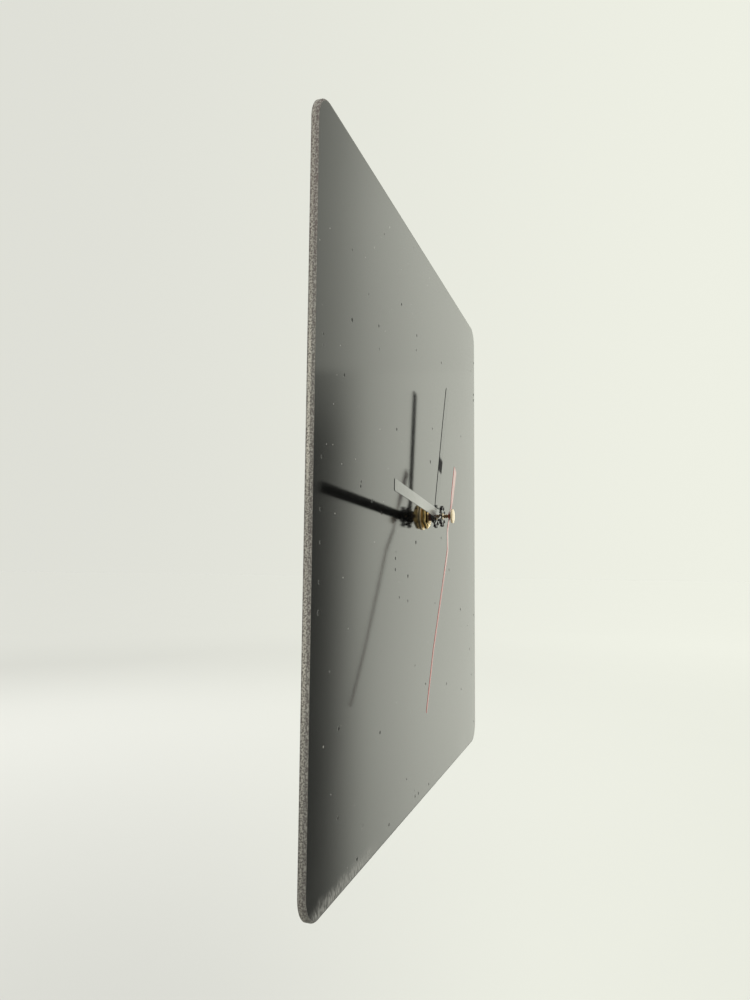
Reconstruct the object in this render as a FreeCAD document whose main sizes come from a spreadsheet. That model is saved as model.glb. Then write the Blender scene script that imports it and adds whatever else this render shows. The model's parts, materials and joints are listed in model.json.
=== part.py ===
import FreeCAD, Part
import math
import os
import re

import Sketcher
from FreeCAD import Placement, Rotation, Vector

# A wall clock: a square glass dial plate on a battery quartz movement, in millimetres.
# The origin is on the hand shaft at the wall. X runs to the viewer's right and Z runs up.
# The clock faces -Y, so a "station" is a distance from the wall towards the viewer.

SIZES = {
    # depths of the stack that the fixing nut clamps
    "case_depth": 16.0,
    "hanger_thickness": 0.8,
    "rubber_thickness": 1.0,
    "dial_thickness": 3.0,
    "washer_thickness": 0.9,
    "nut_thickness": 2.8,
    # dial plate
    "dial_width": 300.0,
    "dial_corner_radius": 12.0,
    "dial_front_bevel": 0.8,
    "dial_back_bevel": 0.4,
    "dial_hole": 8.6,
    # parts on the bushing
    "bushing_diameter": 8.0,
    "bushing_bore": 5.15,
    "bushing_reach": 4.2,
    "bushing_flange": 11.0,
    "bushing_flange_thickness": 0.7,
    "nut_across_flats": 11.6,
    "nut_hole": 8.04,
    "nut_bevel": 0.35,
    "washer_diameter": 14.6,
    "washer_hole": 8.3,
    "rubber_diameter": 22.0,
    # hanger
    "hanger_width": 22.0,
    "hanger_top": 37.0,
    "keyhole_height": 34.5,
    "keyhole_diameter": 7.0,
    "keyhole_slot": 2.9,
    "keyhole_slot_length": 6.0,
    # movement case
    "case_width": 56.0,
    "case_corner_radius": 3.0,
    "case_wall": 1.4,
    "case_face_wall": 1.5,
    "bay_face_wall": 1.0,
    "bay_height": 15.4,
    "partition": 1.0,
    "lid_thickness": 1.5,
    "lid_gap": 0.1,
    "pillar_diameter": 3.0,
    "post_diameter": 1.2,
    "latch_width": 6.0,
    "latch_thickness": 1.1,
    "latch_reach": 6.0,
    "latch_hook": 0.9,
    # middle plate and shafts
    "middle_plate_start": 10.6,
    "middle_plate_thickness": 1.0,
    "plate_width": 32.0,
    "plate_top": 23.5,
    "plate_inset": 0.3,
    "plate_across": 1.0,
    "plate_corner_radius": 1.5,
    "arbor_diameter": 0.8,
    "pivot_hole": 0.92,
    "boss_diameter": 2.6,
    "boss_reach": 2.7,
    "arbor_start": 2.0,
    "arbor_end": 11.5,
    "seconds_arbor_diameter": 1.0,
    "seconds_pivot_hole": 1.12,
    "seconds_arbor_end": 36.9,
    "minute_pipe_diameter": 3.4,
    "minute_pipe_bore": 1.16,
    "minute_pipe_start": 9.2,
    "minute_pipe_end": 32.3,
    "hour_tube_diameter": 5.0,
    "hour_tube_bore": 3.56,
    "hour_tube_end": 28.8,
    # shaft places: distance from the hand shaft, or from the shaft named, and direction
    "intermediate_distance": 8.64,
    "intermediate_angle": 120.0,
    "rotor_distance": 7.0,
    "rotor_angle": 150.0,
    "third_distance": 8.5,
    "third_angle": 30.0,
    "motion_distance": 8.4,
    "motion_angle": 75.0,
    "knob_distance": 8.4,
    "knob_angle": 60.0,
    # wheels and pinions
    "hour_module": 0.336,
    "motion_module": 0.3,
    "fine_module": 0.25,
    "running_gap": 0.12,
    "press_gap": 0.02,
    "pipe_gap": 0.14,
    "hour_wheel_start": 13.3,
    "motion_wheel_start": 12.1,
    "motion_wheel_thickness": 0.8,
    "motion_pinion_length": 1.2,
    "minute_pinion_start": 12.0,
    "minute_pinion_length": 1.0,
    "pipe_flange_thickness": 0.3,
    "clutch_diameter": 5.4,
    "clutch_reach": 5.0,
    "clutch_thickness": 0.25,
    "train_thickness": 0.6,
    "centre_gear_start": 9.8,
    "third_wheel_start": 8.2,
    "third_pinion_length": 1.7,
    "seconds_wheel_start": 7.0,
    "seconds_pinion_length": 1.4,
    "intermediate_wheel_start": 5.6,
    "intermediate_pinion_length": 1.6,
    "wheel_hub": 2.3,
    "wheel_hub_length": 0.5,
    "rotor_pinion_start": 5.3,
    "rotor_pinion_length": 1.2,
    # tooth form, as multiples of the module
    "tooth_addendum": 0.75,
    "tooth_dedendum": 1.1,
    "tooth_tip_half_width": 0.26,
    "tooth_root_half_width": 0.78,
    # rotor, stator and coil
    "rotor_magnet_diameter": 4.6,
    "rotor_magnet_start": 3.0,
    "rotor_magnet_length": 2.2,
    "stator_hole": 5.8,
    "stator_ring": 10.0,
    "stator_start": 3.6,
    "stator_thickness": 1.0,
    "coil_across": -21.0,
    "coil_core_width": 2.5,
    "coil_core_thickness": 1.0,
    "coil_core_bottom": -4.3,
    "coil_core_length": 28.6,
    "bobbin_length": 20.0,
    "bobbin_flange": 7.0,
    "bobbin_flange_thickness": 1.0,
    "bobbin_tube": 4.0,
    "winding_diameter": 6.4,
    # circuit board
    "board_across": 21.0,
    "board_up": 9.5,
    "board_width": 7.0,
    "board_height": 31.0,
    "board_start": 4.0,
    "board_thickness": 1.0,
    "board_hole": 2.0,
    "chip_diameter": 5.0,
    "chip_height": 1.2,
    "crystal_diameter": 2.0,
    "crystal_length": 6.0,
    "crystal_rise": 6.0,
    "lead_diameter": 0.3,
    "lead_length": 2.1,
    "lead_spread": 0.4,
    # battery and contacts
    "battery_diameter": 14.2,
    "battery_station": 7.65,
    "battery_up": -18.9,
    "battery_left": -25.2,
    "battery_length": 49.0,
    "battery_cap_diameter": 5.5,
    "battery_cap_height": 1.3,
    "battery_base_diameter": 11.2,
    "battery_base_height": 0.2,
    "contact_thickness": 0.3,
    "contact_height": 19.0,
    "contact_depth": 8.0,
    "contact_start": 3.0,
    "contact_rise": 5.0,
    "contact_room": 0.5,
    "contact_pip": 3.0,
    "contact_pip_height": 0.7,
    "contact_bow_reach": 0.55,
    "contact_bow_width": 6.0,
    "contact_slot_width": 0.8,
    "contact_slot_start": 2.0,
    "contact_slot_depth": 11.0,
    # setting knob
    "knob_diameter": 10.0,
    "knob_start": 0.3,
    "knob_thickness": 1.6,
    "knob_shaft": 2.4,
    "knob_recess_diameter": 12.0,
    "knob_recess_depth": 2.3,
    "knob_dish_wall": 1.0,
    "knob_shaft_end": 13.1,
    "knob_pivot_length": 1.1,
    "knob_boss_start": 13.4,
    "knob_groove": 1.0,
    # hands
    "hour_hub": 12.6,
    "minute_hub": 11.4,
    "hand_thickness": 0.4,
    "needle_thickness": 0.25,
    "hour_bearing": 14.0,
    "hour_length": 76.0,
    "hour_width": 7.4,
    "hour_station": 28.1,
    "hour_rise": 2.2,
    "minute_bearing": 273.3,
    "minute_length": 104.0,
    "minute_width": 5.0,
    "minute_station": 31.6,
    "minute_rise": 5.0,
    "second_bearing": 213.0,
    "second_length": 110.0,
    "second_tail": 33.0,
    "second_width": 2.1,
    "second_tail_width": 5.8,
    "second_station": 35.8,
    "second_step": 1.7,
    "second_rise": 3.05,
    "second_tail_fall": 0.9,
    "second_hub": 5.0,
    "second_tube_diameter": 2.0,
    "second_tube_start": 32.8,
    "second_tube_end": 37.2,
    "cap_diameter": 7.6,
    "cap_start": 37.0,
    "cap_thickness": 1.1,
}

doc = FreeCAD.newDocument("wall_clock")
sheet = doc.addObject("Spreadsheet::Sheet", "Sizes")
for row, (alias, number) in enumerate(SIZES.items(), start=1):
    sheet.set(f"A{row}", alias)
    sheet.set(f"B{row}", str(number))
    sheet.setAlias(f"B{row}", alias)
doc.recompute()

HANGER = "case_depth"
RUBBER = f"({HANGER} + hanger_thickness)"
DIAL = f"({RUBBER} + rubber_thickness)"
FACE = f"({DIAL} + dial_thickness)"
NUT = f"({FACE} + washer_thickness)"

TURN_TO = {
    "front": Rotation(Vector(1, 0, 0), 90),
    "up": Rotation(),
    "right": Rotation(Vector(0, 1, 0), 90),
}


def formula(text):
    """Point each alias in a formula at the sheet."""
    def on_sheet(word):
        return "Sizes." + word.group() if word.group() in SIZES else word.group()
    return re.sub(r"[a-z_]+", on_sheet, str(text))


def size(alias):
    """A value from the sheet, for outlines whose corners are worked out here."""
    return float(getattr(sheet, alias))


def bind(thing, **formulas):
    for name, text in formulas.items():
        thing.setExpression(name.replace("__", "."), formula(text))


def new_body(label, across=0, up=0):
    body = doc.addObject("PartDesign::Body", label)
    bind(body, Placement__Base__x=across, Placement__Base__z=up)
    return body


def cylinder(body, name, diameter, start, length, across=0, up=0, axis="front", cut=False):
    """A round bar or hole: its first end is centred at the place and station given."""
    kind = "SubtractiveCylinder" if cut else "AdditiveCylinder"
    bar = body.newObject("PartDesign::" + kind, name)
    bar.Placement = Placement(Vector(), TURN_TO[axis])
    bind(bar, Radius=f"({diameter}) / 2", Height=length, Placement__Base__x=across,
         Placement__Base__y=f"-({start})", Placement__Base__z=up)
    return bar


def block(body, name, width, height, start, length, across=0, up=0, cut=False):
    """A box or square hole, centred across and up, that runs forward from its station."""
    kind = "SubtractiveBox" if cut else "AdditiveBox"
    box = body.newObject("PartDesign::" + kind, name)
    bind(box, Length=width, Width=length, Height=height,
         Placement__Base__x=f"({across}) - ({width}) / 2",
         Placement__Base__y=f"-(({start}) + ({length}))",
         Placement__Base__z=f"({up}) - ({height}) / 2")
    return box


def outline(body, name, loops, start, length, plane="XZ_Plane", cut=False):
    """A flat shape, given as loops of corners, made solid from its station forwards."""
    origin_plane = next(item for item in body.Origin.OriginFeatures if item.Role == plane)
    sketch = body.newObject("Sketcher::SketchObject", name + "_sketch")
    sketch.AttachmentSupport = [(origin_plane, "")]
    sketch.MapMode = "FlatFace"
    bind(sketch, AttachmentOffset__Base__z=start)
    for corners in loops:
        points = [Vector(x, y, 0) for x, y in corners]
        for first, second in zip(points, points[1:] + points[:1]):
            sketch.addGeometry(Part.LineSegment(first, second), False)
    solid = body.newObject("PartDesign::" + ("Pocket" if cut else "Pad"), name)
    solid.Profile = sketch
    bind(solid, Length=length)
    solid.Reversed = cut
    return solid


def edges_at(shape, where):
    """The names of the edges round the front or back face, or of the upright corners."""
    face = {"front": shape.BoundBox.YMin, "back": shape.BoundBox.YMax}.get(where)
    names = []
    for count, edge in enumerate(shape.Edges, start=1):
        stations = [vertex.Y for vertex in edge.Vertexes]
        ends = [(round(vertex.X, 6), round(vertex.Z, 6)) for vertex in edge.Vertexes]
        if face is None:
            wanted = len(ends) == 2 and ends[0] == ends[1]
        else:
            wanted = all(abs(station - face) < 1e-5 for station in stations)
        if wanted:
            names.append(f"Edge{count}")
    return names


def dress(body, kind, name, amount, where):
    """Round ("Fillet") or bevel ("Chamfer") the edges at the place given."""
    doc.recompute()
    base = body.Tip
    dressed = body.newObject("PartDesign::" + kind, name)
    dressed.Base = (base, edges_at(base.Shape, where))
    bind(dressed, **{"Radius" if kind == "Fillet" else "Size": amount})


def direction_place(distance, angle, from_place=("0", "0")):
    """The formulas of a shaft's place, from its distance and direction."""
    return (f"({from_place[0]} + {distance} * cos({angle}))",
            f"({from_place[1]} + {distance} * sin({angle}))")


CENTRE = ("0", "0")
INTERMEDIATE = direction_place("intermediate_distance", "intermediate_angle")
ROTOR = direction_place("rotor_distance", "rotor_angle", INTERMEDIATE)
THIRD = direction_place("third_distance", "third_angle")
MOTION = direction_place("motion_distance", "motion_angle")
KNOB = direction_place("knob_distance", "knob_angle", MOTION)
PILLARS = [("-13.5", "-7.5"), ("15.2", "-7.5"), ("-6", "21"), ("15.2", "20.8")]

TEETH = {"hour": 40, "motion": 42, "motion_pinion": 10, "minute_pinion": 14, "knob": 14,
         "centre": 64, "third": 60, "third_pinion": 8, "seconds": 40, "seconds_pinion": 8,
         "intermediate": 48, "intermediate_pinion": 8, "rotor_pinion": 8}


# ---- dial plate and what clamps it -------------------------------------------------

def dial_panel():
    """Toughened glass: corners rounded, the front edge ground to a wider bevel."""
    body = new_body("dial_panel")
    block(body, "glass", "dial_width", "dial_width", DIAL, "dial_thickness")
    dress(body, "Fillet", "glass_corners", "dial_corner_radius", "corners")
    dress(body, "Chamfer", "front_arris", "dial_front_bevel", "front")
    dress(body, "Chamfer", "back_arris", "dial_back_bevel", "back")
    cylinder(body, "shaft_hole", "dial_hole", DIAL, "dial_thickness", cut=True)


def front_washer():
    body = new_body("front_washer")
    cylinder(body, "washer", "washer_diameter", FACE, "washer_thickness")
    cylinder(body, "washer_bore", "washer_hole", FACE, "washer_thickness", cut=True)
    dress(body, "Chamfer", "washer_rim", "washer_thickness / 4", "front")


def hex_nut():
    """A hexagon with two flats upright and its corners bevelled."""
    body = new_body("hex_nut")
    corner = size("nut_across_flats") / math.sqrt(3)
    hexagon = [(corner * math.sin(math.radians(60 * side)), corner * math.cos(math.radians(60 * side)))
               for side in range(6)]
    outline(body, "hexagon", [hexagon], NUT, "nut_thickness")
    dress(body, "Chamfer", "nut_front", "nut_bevel", "front")
    cylinder(body, "nut_thread", "nut_hole", NUT, "nut_thickness", cut=True)


def rubber_washer():
    body = new_body("rubber_washer")
    cylinder(body, "rubber", "rubber_diameter", RUBBER, "rubber_thickness")
    cylinder(body, "rubber_bore", "washer_hole", RUBBER, "rubber_thickness", cut=True)


def hanger_plate():
    """A pressed steel strap with round ends, held on the bushing, with a keyhole at its top."""
    body = new_body("hanger_plate")
    block(body, "strap", "hanger_width", "hanger_top", HANGER, "hanger_thickness",
          up="hanger_top / 2")
    for name, height in (("bottom_end", "0"), ("top_end", "hanger_top")):
        cylinder(body, name, "hanger_width", HANGER, "hanger_thickness", up=height)
    cylinder(body, "bushing_hole", "washer_hole", HANGER, "hanger_thickness", cut=True)
    cylinder(body, "keyhole", "keyhole_diameter", HANGER, "hanger_thickness",
             up="keyhole_height", cut=True)
    block(body, "keyhole_neck", "keyhole_slot", "keyhole_slot_length", HANGER,
          "hanger_thickness", up="keyhole_height + keyhole_slot_length / 2", cut=True)
    cylinder(body, "keyhole_seat", "keyhole_slot", HANGER, "hanger_thickness",
             up="keyhole_height + keyhole_slot_length", cut=True)


def threaded_bushing():
    """A brass tube whose flange is moulded into the case's face."""
    body = new_body("threaded_bushing")
    flange = "case_depth - case_face_wall"
    cylinder(body, "flange", "bushing_flange", flange, "bushing_flange_thickness")
    cylinder(body, "neck", "bushing_diameter", flange, f"{FACE} + bushing_reach - ({flange})")
    cylinder(body, "bushing_hole", "bushing_bore", flange,
             f"{FACE} + bushing_reach - ({flange})", cut=True)


# ---- movement case -----------------------------------------------------------------

BAY_UP = "(-case_width / 2 + case_wall + bay_height / 2)"
TRAIN_BOTTOM = "(-case_width / 2 + case_wall + bay_height + partition)"
TRAIN_TOP = "(case_width / 2 - case_wall)"
INNER_WIDTH = "(case_width - 2 * case_wall)"
LATCHES = [(side, height) for side in (-1, 1) for height in (2, 20)]
LATCH_CATCH = "(latch_reach - latch_hook)"
POST_END = "(case_depth - bay_face_wall)"
OVERCUT = 0.2


def case_front():
    """A tray: the train's space above, an open battery bay below, and posts on its face."""
    body = new_body("case_front")
    block(body, "shell", "case_width", "case_width", 0, "case_depth")
    dress(body, "Fillet", "shell_corners", "case_corner_radius", "corners")
    inner_face = "case_depth - case_face_wall"
    block(body, "train_space", INNER_WIDTH, f"{TRAIN_TOP} - {TRAIN_BOTTOM}", 0, inner_face,
          up=f"({TRAIN_TOP} + {TRAIN_BOTTOM}) / 2", cut=True)
    block(body, "battery_bay", INNER_WIDTH, "bay_height", 0, "case_depth - bay_face_wall",
          up=BAY_UP, cut=True)
    for side in (-1, 1):
        block(body, "contact_slot", "contact_slot_width", f"partition + {OVERCUT}",
              "contact_slot_start", "contact_slot_depth",
              across=f"{side} * ({INNER_WIDTH} - contact_slot_width) / 2",
              up=f"{TRAIN_BOTTOM} - partition / 2", cut=True)
    for side, height in LATCHES:
        block(body, "latch_window", f"case_wall + {OVERCUT}", f"latch_width + 2 * {OVERCUT}",
              LATCH_CATCH, f"latch_hook + {OVERCUT}",
              across=f"{side} * (case_width - case_wall) / 2", up=height, cut=True)
    plate_front = "middle_plate_start + middle_plate_thickness"
    post_length = f"{POST_END} - ({plate_front})"
    for across, up in PILLARS:
        cylinder(body, "plate_post", "pillar_diameter", plate_front, post_length, across, up)
    cylinder(body, "motion_post", "post_diameter", plate_front, post_length, *MOTION)
    cylinder(body, "knob_boss", "pillar_diameter", "knob_boss_start",
             f"{POST_END} - knob_boss_start", *KNOB)
    cylinder(body, "knob_pivot_hole", "post_diameter + running_gap", "knob_boss_start",
             "knob_pivot_length", *KNOB, cut=True)
    cylinder(body, "flange_seat", "bushing_flange + press_gap", inner_face,
             "bushing_flange_thickness", cut=True)
    cylinder(body, "neck_hole", "bushing_diameter + press_gap", inner_face, "case_face_wall",
             cut=True)


def case_back():
    """The lid behind the train: pillars, pivot bosses, latches and the knob's recess."""
    body = new_body("case_back")
    height = f"({TRAIN_TOP} - {TRAIN_BOTTOM} - 2 * lid_gap)"
    block(body, "lid", f"{INNER_WIDTH} - 2 * lid_gap", height, 0, "lid_thickness",
          up=f"({TRAIN_TOP} + {TRAIN_BOTTOM}) / 2")
    inside = "lid_thickness / 2"
    for across, up in PILLARS:
        cylinder(body, "pillar", "pillar_diameter", inside, f"middle_plate_start - {inside}",
                 across, up)
    for name, place in (("centre", CENTRE), ("third", THIRD), ("intermediate", INTERMEDIATE),
                        ("rotor", ROTOR)):
        cylinder(body, name + "_boss", "boss_diameter", inside, f"boss_reach - {inside}", *place)
        hole = "seconds_pivot_hole" if name == "centre" else "pivot_hole"
        cylinder(body, name + "_pivot", hole, "arbor_start - lid_gap", "boss_reach", *place,
                 cut=True)
    for side, up in LATCHES:
        edge = f"({INNER_WIDTH} / 2 - lid_gap - latch_thickness / 2)"
        block(body, "latch_arm", "latch_thickness", "latch_width", inside,
              f"latch_reach - {inside}", across=f"{side} * {edge}", up=up)
        block(body, "latch_hook_end", "latch_hook", "latch_width", f"{LATCH_CATCH} + lid_gap",
              "latch_hook - lid_gap",
              across=f"{side} * ({INNER_WIDTH} / 2 + latch_hook / 2 - lid_gap)", up=up)
    cylinder(body, "knob_dish", "knob_recess_diameter + 2 * knob_dish_wall", inside,
             f"knob_recess_depth + knob_dish_wall - {inside}", *KNOB)
    cylinder(body, "knob_recess", "knob_recess_diameter", 0, "knob_recess_depth", *KNOB, cut=True)
    cylinder(body, "knob_hole", "knob_shaft + pipe_gap", 0, "case_depth / 2", *KNOB, cut=True)


def middle_plate():
    """The bearing plate between the motion work and the train."""
    body = new_body("middle_plate")
    block(body, "plate", "plate_width", f"plate_top - {TRAIN_BOTTOM} - 2 * plate_inset",
          "middle_plate_start", "middle_plate_thickness", across="plate_across",
          up=f"(plate_top + {TRAIN_BOTTOM}) / 2")
    dress(body, "Fillet", "plate_corners", "plate_corner_radius", "corners")
    holes = [("pipe_hole", "minute_pipe_diameter + pipe_gap + press_gap", CENTRE),
             ("third_hole", "pivot_hole", THIRD),
             ("intermediate_hole", "pivot_hole", INTERMEDIATE),
             ("rotor_hole", "pivot_hole", ROTOR),
             ("knob_hole", "knob_shaft + pipe_gap", KNOB)]
    for name, diameter, place in holes:
        cylinder(body, name, diameter, "middle_plate_start", "middle_plate_thickness", *place,
                 cut=True)


# ---- wheels ------------------------------------------------------------------------

def gear(body, name, wheel, module, turn, start, length):
    """A toothed disc: each tooth is a trapezium, and one tooth's middle is at angle turn."""
    teeth = TEETH[wheel]
    pitch_radius = teeth * module / 2
    root = pitch_radius - size("tooth_dedendum") * module
    tip = pitch_radius + size("tooth_addendum") * module
    root_angle = math.asin(size("tooth_root_half_width") * module / root)
    tip_angle = math.asin(size("tooth_tip_half_width") * module / tip)
    corners = []
    for tooth in range(teeth):
        middle = math.radians(turn) + 2 * math.pi * tooth / teeth
        for radius, angle in ((root, -root_angle), (tip, -tip_angle), (tip, tip_angle),
                              (root, root_angle)):
            corners.append((radius * math.cos(middle + angle), radius * math.sin(middle + angle)))
    outline(body, name, [corners], start, length)


def facing_gap(direction, wheel, outward=False):
    """The turn that puts a gap where the mating wheel's tooth points.

    The direction runs from the inner shaft to the outer one, and the inner wheel's mate
    is outward.
    """
    return size(direction) + (0 if outward else 180) + 180 / TEETH[wheel]


def meshing_module(distance, wheel, pinion):
    """The module that makes a wheel and a pinion meet at their shafts' distance."""
    return 2 * size(distance) / (TEETH[wheel] + TEETH[pinion])


def hour_wheel():
    """The wheel and the tube that carries the hour hand, in one moulding."""
    body = new_body("hour_wheel")
    gear(body, "teeth", "hour", size("hour_module"), facing_gap("motion_angle", "hour", True),
         "hour_wheel_start", "motion_wheel_thickness")
    length = "hour_tube_end - hour_wheel_start"
    cylinder(body, "tube", "hour_tube_diameter", "hour_wheel_start", length)
    cylinder(body, "tube_bore", "hour_tube_bore", "hour_wheel_start", length, cut=True)


def motion_wheel():
    """Wheel and pinion in one moulding, loose on the case's post."""
    body = new_body("motion_wheel", *MOTION)
    gear(body, "wheel", "motion", size("motion_module"), facing_gap("motion_angle", "motion"),
         "motion_wheel_start", "motion_wheel_thickness")
    gear(body, "pinion", "motion_pinion", size("hour_module"), size("motion_angle") + 180,
         "motion_wheel_start + motion_wheel_thickness", "motion_pinion_length")
    cylinder(body, "post_bore", "post_diameter + running_gap", "motion_wheel_start",
             "motion_wheel_thickness + motion_pinion_length", cut=True)


def minute_pipe():
    """The tube that carries the minute hand, with its flange and pinion."""
    body = new_body("minute_pipe")
    length = "minute_pipe_end - minute_pipe_start"
    cylinder(body, "pipe", "minute_pipe_diameter", "minute_pipe_start", length)
    cylinder(body, "end_flange", "minute_pipe_diameter + 4 * pipe_flange_thickness",
             "minute_pipe_start", "pipe_flange_thickness")
    gear(body, "pinion", "minute_pinion", size("motion_module"), size("motion_angle"),
         "minute_pinion_start", "minute_pinion_length")
    cylinder(body, "pipe_bore", "minute_pipe_bore", "minute_pipe_start", length, cut=True)


def clutch_spring():
    """A three-armed spring washer that lets the hands be set while the train stands."""
    body = new_body("clutch_spring")
    start = "minute_pipe_start + pipe_flange_thickness"
    cylinder(body, "ring", "clutch_diameter", start, "clutch_thickness")
    root_reach, root_half, tip_half = 1.9, 0.7, 0.45
    tip_reach = size("clutch_reach")
    for arm in range(3):
        turn = math.radians(90 + 120 * arm)
        ends = ((root_reach, -root_half), (tip_reach, -tip_half), (tip_reach, tip_half),
                (root_reach, root_half))
        corners = [(reach * math.cos(turn) - half * math.sin(turn),
                    reach * math.sin(turn) + half * math.cos(turn)) for reach, half in ends]
        outline(body, "arm", [corners], start, "clutch_thickness")
    cylinder(body, "ring_bore", "minute_pipe_diameter + 2 * press_gap", start,
             "clutch_thickness", cut=True)


def centre_gear():
    """The wheel that the clutch presses on, loose on the minute pipe."""
    body = new_body("centre_gear")
    module = meshing_module("third_distance", "centre", "third_pinion")
    gear(body, "teeth", "centre", module, facing_gap("third_angle", "centre", True),
         "centre_gear_start", "train_thickness")
    cylinder(body, "pipe_seat", "minute_pipe_diameter + pipe_gap", "centre_gear_start",
             "train_thickness", cut=True)


def seconds_wheel():
    """Wheel, pinion and hub in one moulding, pressed on the seconds arbor."""
    body = new_body("seconds_wheel")
    module = meshing_module("intermediate_distance", "seconds", "intermediate_pinion")
    gear(body, "wheel", "seconds", module, facing_gap("intermediate_angle", "seconds", True),
         "seconds_wheel_start", "train_thickness")
    gear(body, "pinion", "seconds_pinion", size("fine_module"), size("third_angle"),
         "seconds_wheel_start + train_thickness", "seconds_pinion_length")
    cylinder(body, "hub", "wheel_hub", "seconds_wheel_start - wheel_hub_length",
             "wheel_hub_length")
    cylinder(body, "arbor_bore", "seconds_arbor_diameter + press_gap",
             "seconds_wheel_start - wheel_hub_length",
             "wheel_hub_length + train_thickness + seconds_pinion_length", cut=True)


def third_wheel():
    """Wheel, pinion and hub in one moulding, between the seconds and centre wheels."""
    body = new_body("third_wheel", *THIRD)
    gear(body, "wheel", "third", size("fine_module"), facing_gap("third_angle", "third"),
         "third_wheel_start", "train_thickness")
    module = meshing_module("third_distance", "centre", "third_pinion")
    gear(body, "pinion", "third_pinion", module, size("third_angle") + 180,
         "third_wheel_start + train_thickness", "third_pinion_length")
    cylinder(body, "hub", "wheel_hub", "third_wheel_start - wheel_hub_length",
             "wheel_hub_length")
    cylinder(body, "arbor_bore", "arbor_diameter + press_gap",
             "third_wheel_start - wheel_hub_length",
             "wheel_hub_length + train_thickness + third_pinion_length", cut=True)


def intermediate_wheel():
    """Wheel and pinion in one moulding, between the rotor and the seconds wheel."""
    body = new_body("intermediate_wheel", *INTERMEDIATE)
    gear(body, "wheel", "intermediate", size("fine_module"),
         facing_gap("rotor_angle", "intermediate", True), "intermediate_wheel_start",
         "train_thickness")
    module = meshing_module("intermediate_distance", "seconds", "intermediate_pinion")
    gear(body, "pinion", "intermediate_pinion", module, size("intermediate_angle") + 180,
         "intermediate_wheel_start + train_thickness", "intermediate_pinion_length")
    cylinder(body, "arbor_bore", "arbor_diameter + press_gap", "intermediate_wheel_start",
             "train_thickness + intermediate_pinion_length", cut=True)


def rotor_pinion():
    """The small pinion pressed on the rotor's arbor."""
    body = new_body("rotor_pinion", *ROTOR)
    gear(body, "pinion", "rotor_pinion", size("fine_module"), size("rotor_angle") + 180,
         "rotor_pinion_start", "rotor_pinion_length")
    cylinder(body, "arbor_bore", "arbor_diameter + press_gap", "rotor_pinion_start",
             "rotor_pinion_length", cut=True)


def rotor_magnet():
    """A disc magnet, pressed on the rotor's arbor inside the stator's opening."""
    body = new_body("rotor_magnet", *ROTOR)
    cylinder(body, "magnet", "rotor_magnet_diameter", "rotor_magnet_start",
             "rotor_magnet_length")
    cylinder(body, "arbor_bore", "arbor_diameter + press_gap", "rotor_magnet_start",
             "rotor_magnet_length", cut=True)


def arbor(label, place, diameter, end):
    body = new_body(label, *place)
    cylinder(body, "pin", diameter, "arbor_start", f"{end} - arbor_start")


# ---- motor, circuit and battery ----------------------------------------------------

def stator_plate():
    """A soft-iron yoke: a ring round the rotor and an arm to each end of the coil's core."""
    body = new_body("stator_plate")
    cylinder(body, "ring", "stator_ring", "stator_start", "stator_thickness", *ROTOR)
    upper_arm = [(-23.5, 24.3), (-17.5, 24.3), (-6.6, 14.2), (-11.5, 12.2), (-16.9, 20.3),
                 (-23.5, 20.3)]
    lower_arm = [(-23.5, -4.3), (-17.5, -4.3), (-7.6, 8.0), (-12.5, 10.0), (-16.9, -0.3),
                 (-23.5, -0.3)]
    for name, arm in (("upper_arm", upper_arm), ("lower_arm", lower_arm)):
        outline(body, name, [arm], "stator_start", "stator_thickness")
    cylinder(body, "rotor_opening", "stator_hole", "stator_start", "stator_thickness", *ROTOR,
             cut=True)


COIL_STATION = "(stator_start + stator_thickness + coil_core_thickness / 2)"
BOBBIN_BOTTOM = "(coil_core_bottom + (coil_core_length - bobbin_length) / 2)"


def coil():
    """A core laid on the stator's arms, its bobbin, and the fine copper wire wound on it."""
    core = new_body("coil_core")
    block(core, "core", "coil_core_width", "coil_core_length",
          f"{COIL_STATION} - coil_core_thickness / 2", "coil_core_thickness",
          across="coil_across", up="coil_core_bottom + coil_core_length / 2")
    bobbin = new_body("coil_bobbin")
    cylinder(bobbin, "tube", "bobbin_tube", COIL_STATION, "bobbin_length", "coil_across",
             BOBBIN_BOTTOM, axis="up")
    for name, raised in (("lower_flange", "0"),
                         ("upper_flange", "(bobbin_length - bobbin_flange_thickness)")):
        cylinder(bobbin, name, "bobbin_flange", COIL_STATION, "bobbin_flange_thickness",
                 "coil_across", f"{BOBBIN_BOTTOM} + {raised}", axis="up")
    block(bobbin, "core_passage", "coil_core_width + lid_gap", "2 * bobbin_length",
          f"{COIL_STATION} - (coil_core_thickness + lid_gap) / 2",
          "coil_core_thickness + lid_gap", across="coil_across",
          up=f"{BOBBIN_BOTTOM} + bobbin_length / 2", cut=True)
    winding = new_body("coil_winding")
    length = "bobbin_length - 2 * bobbin_flange_thickness - 2 * press_gap"
    bottom = f"{BOBBIN_BOTTOM} + bobbin_flange_thickness + press_gap"
    cylinder(winding, "wire", "winding_diameter", COIL_STATION, length, "coil_across", bottom,
             axis="up")
    cylinder(winding, "wire_bore", "bobbin_tube + 2 * press_gap", COIL_STATION, length,
             "coil_across", bottom, axis="up", cut=True)


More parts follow.
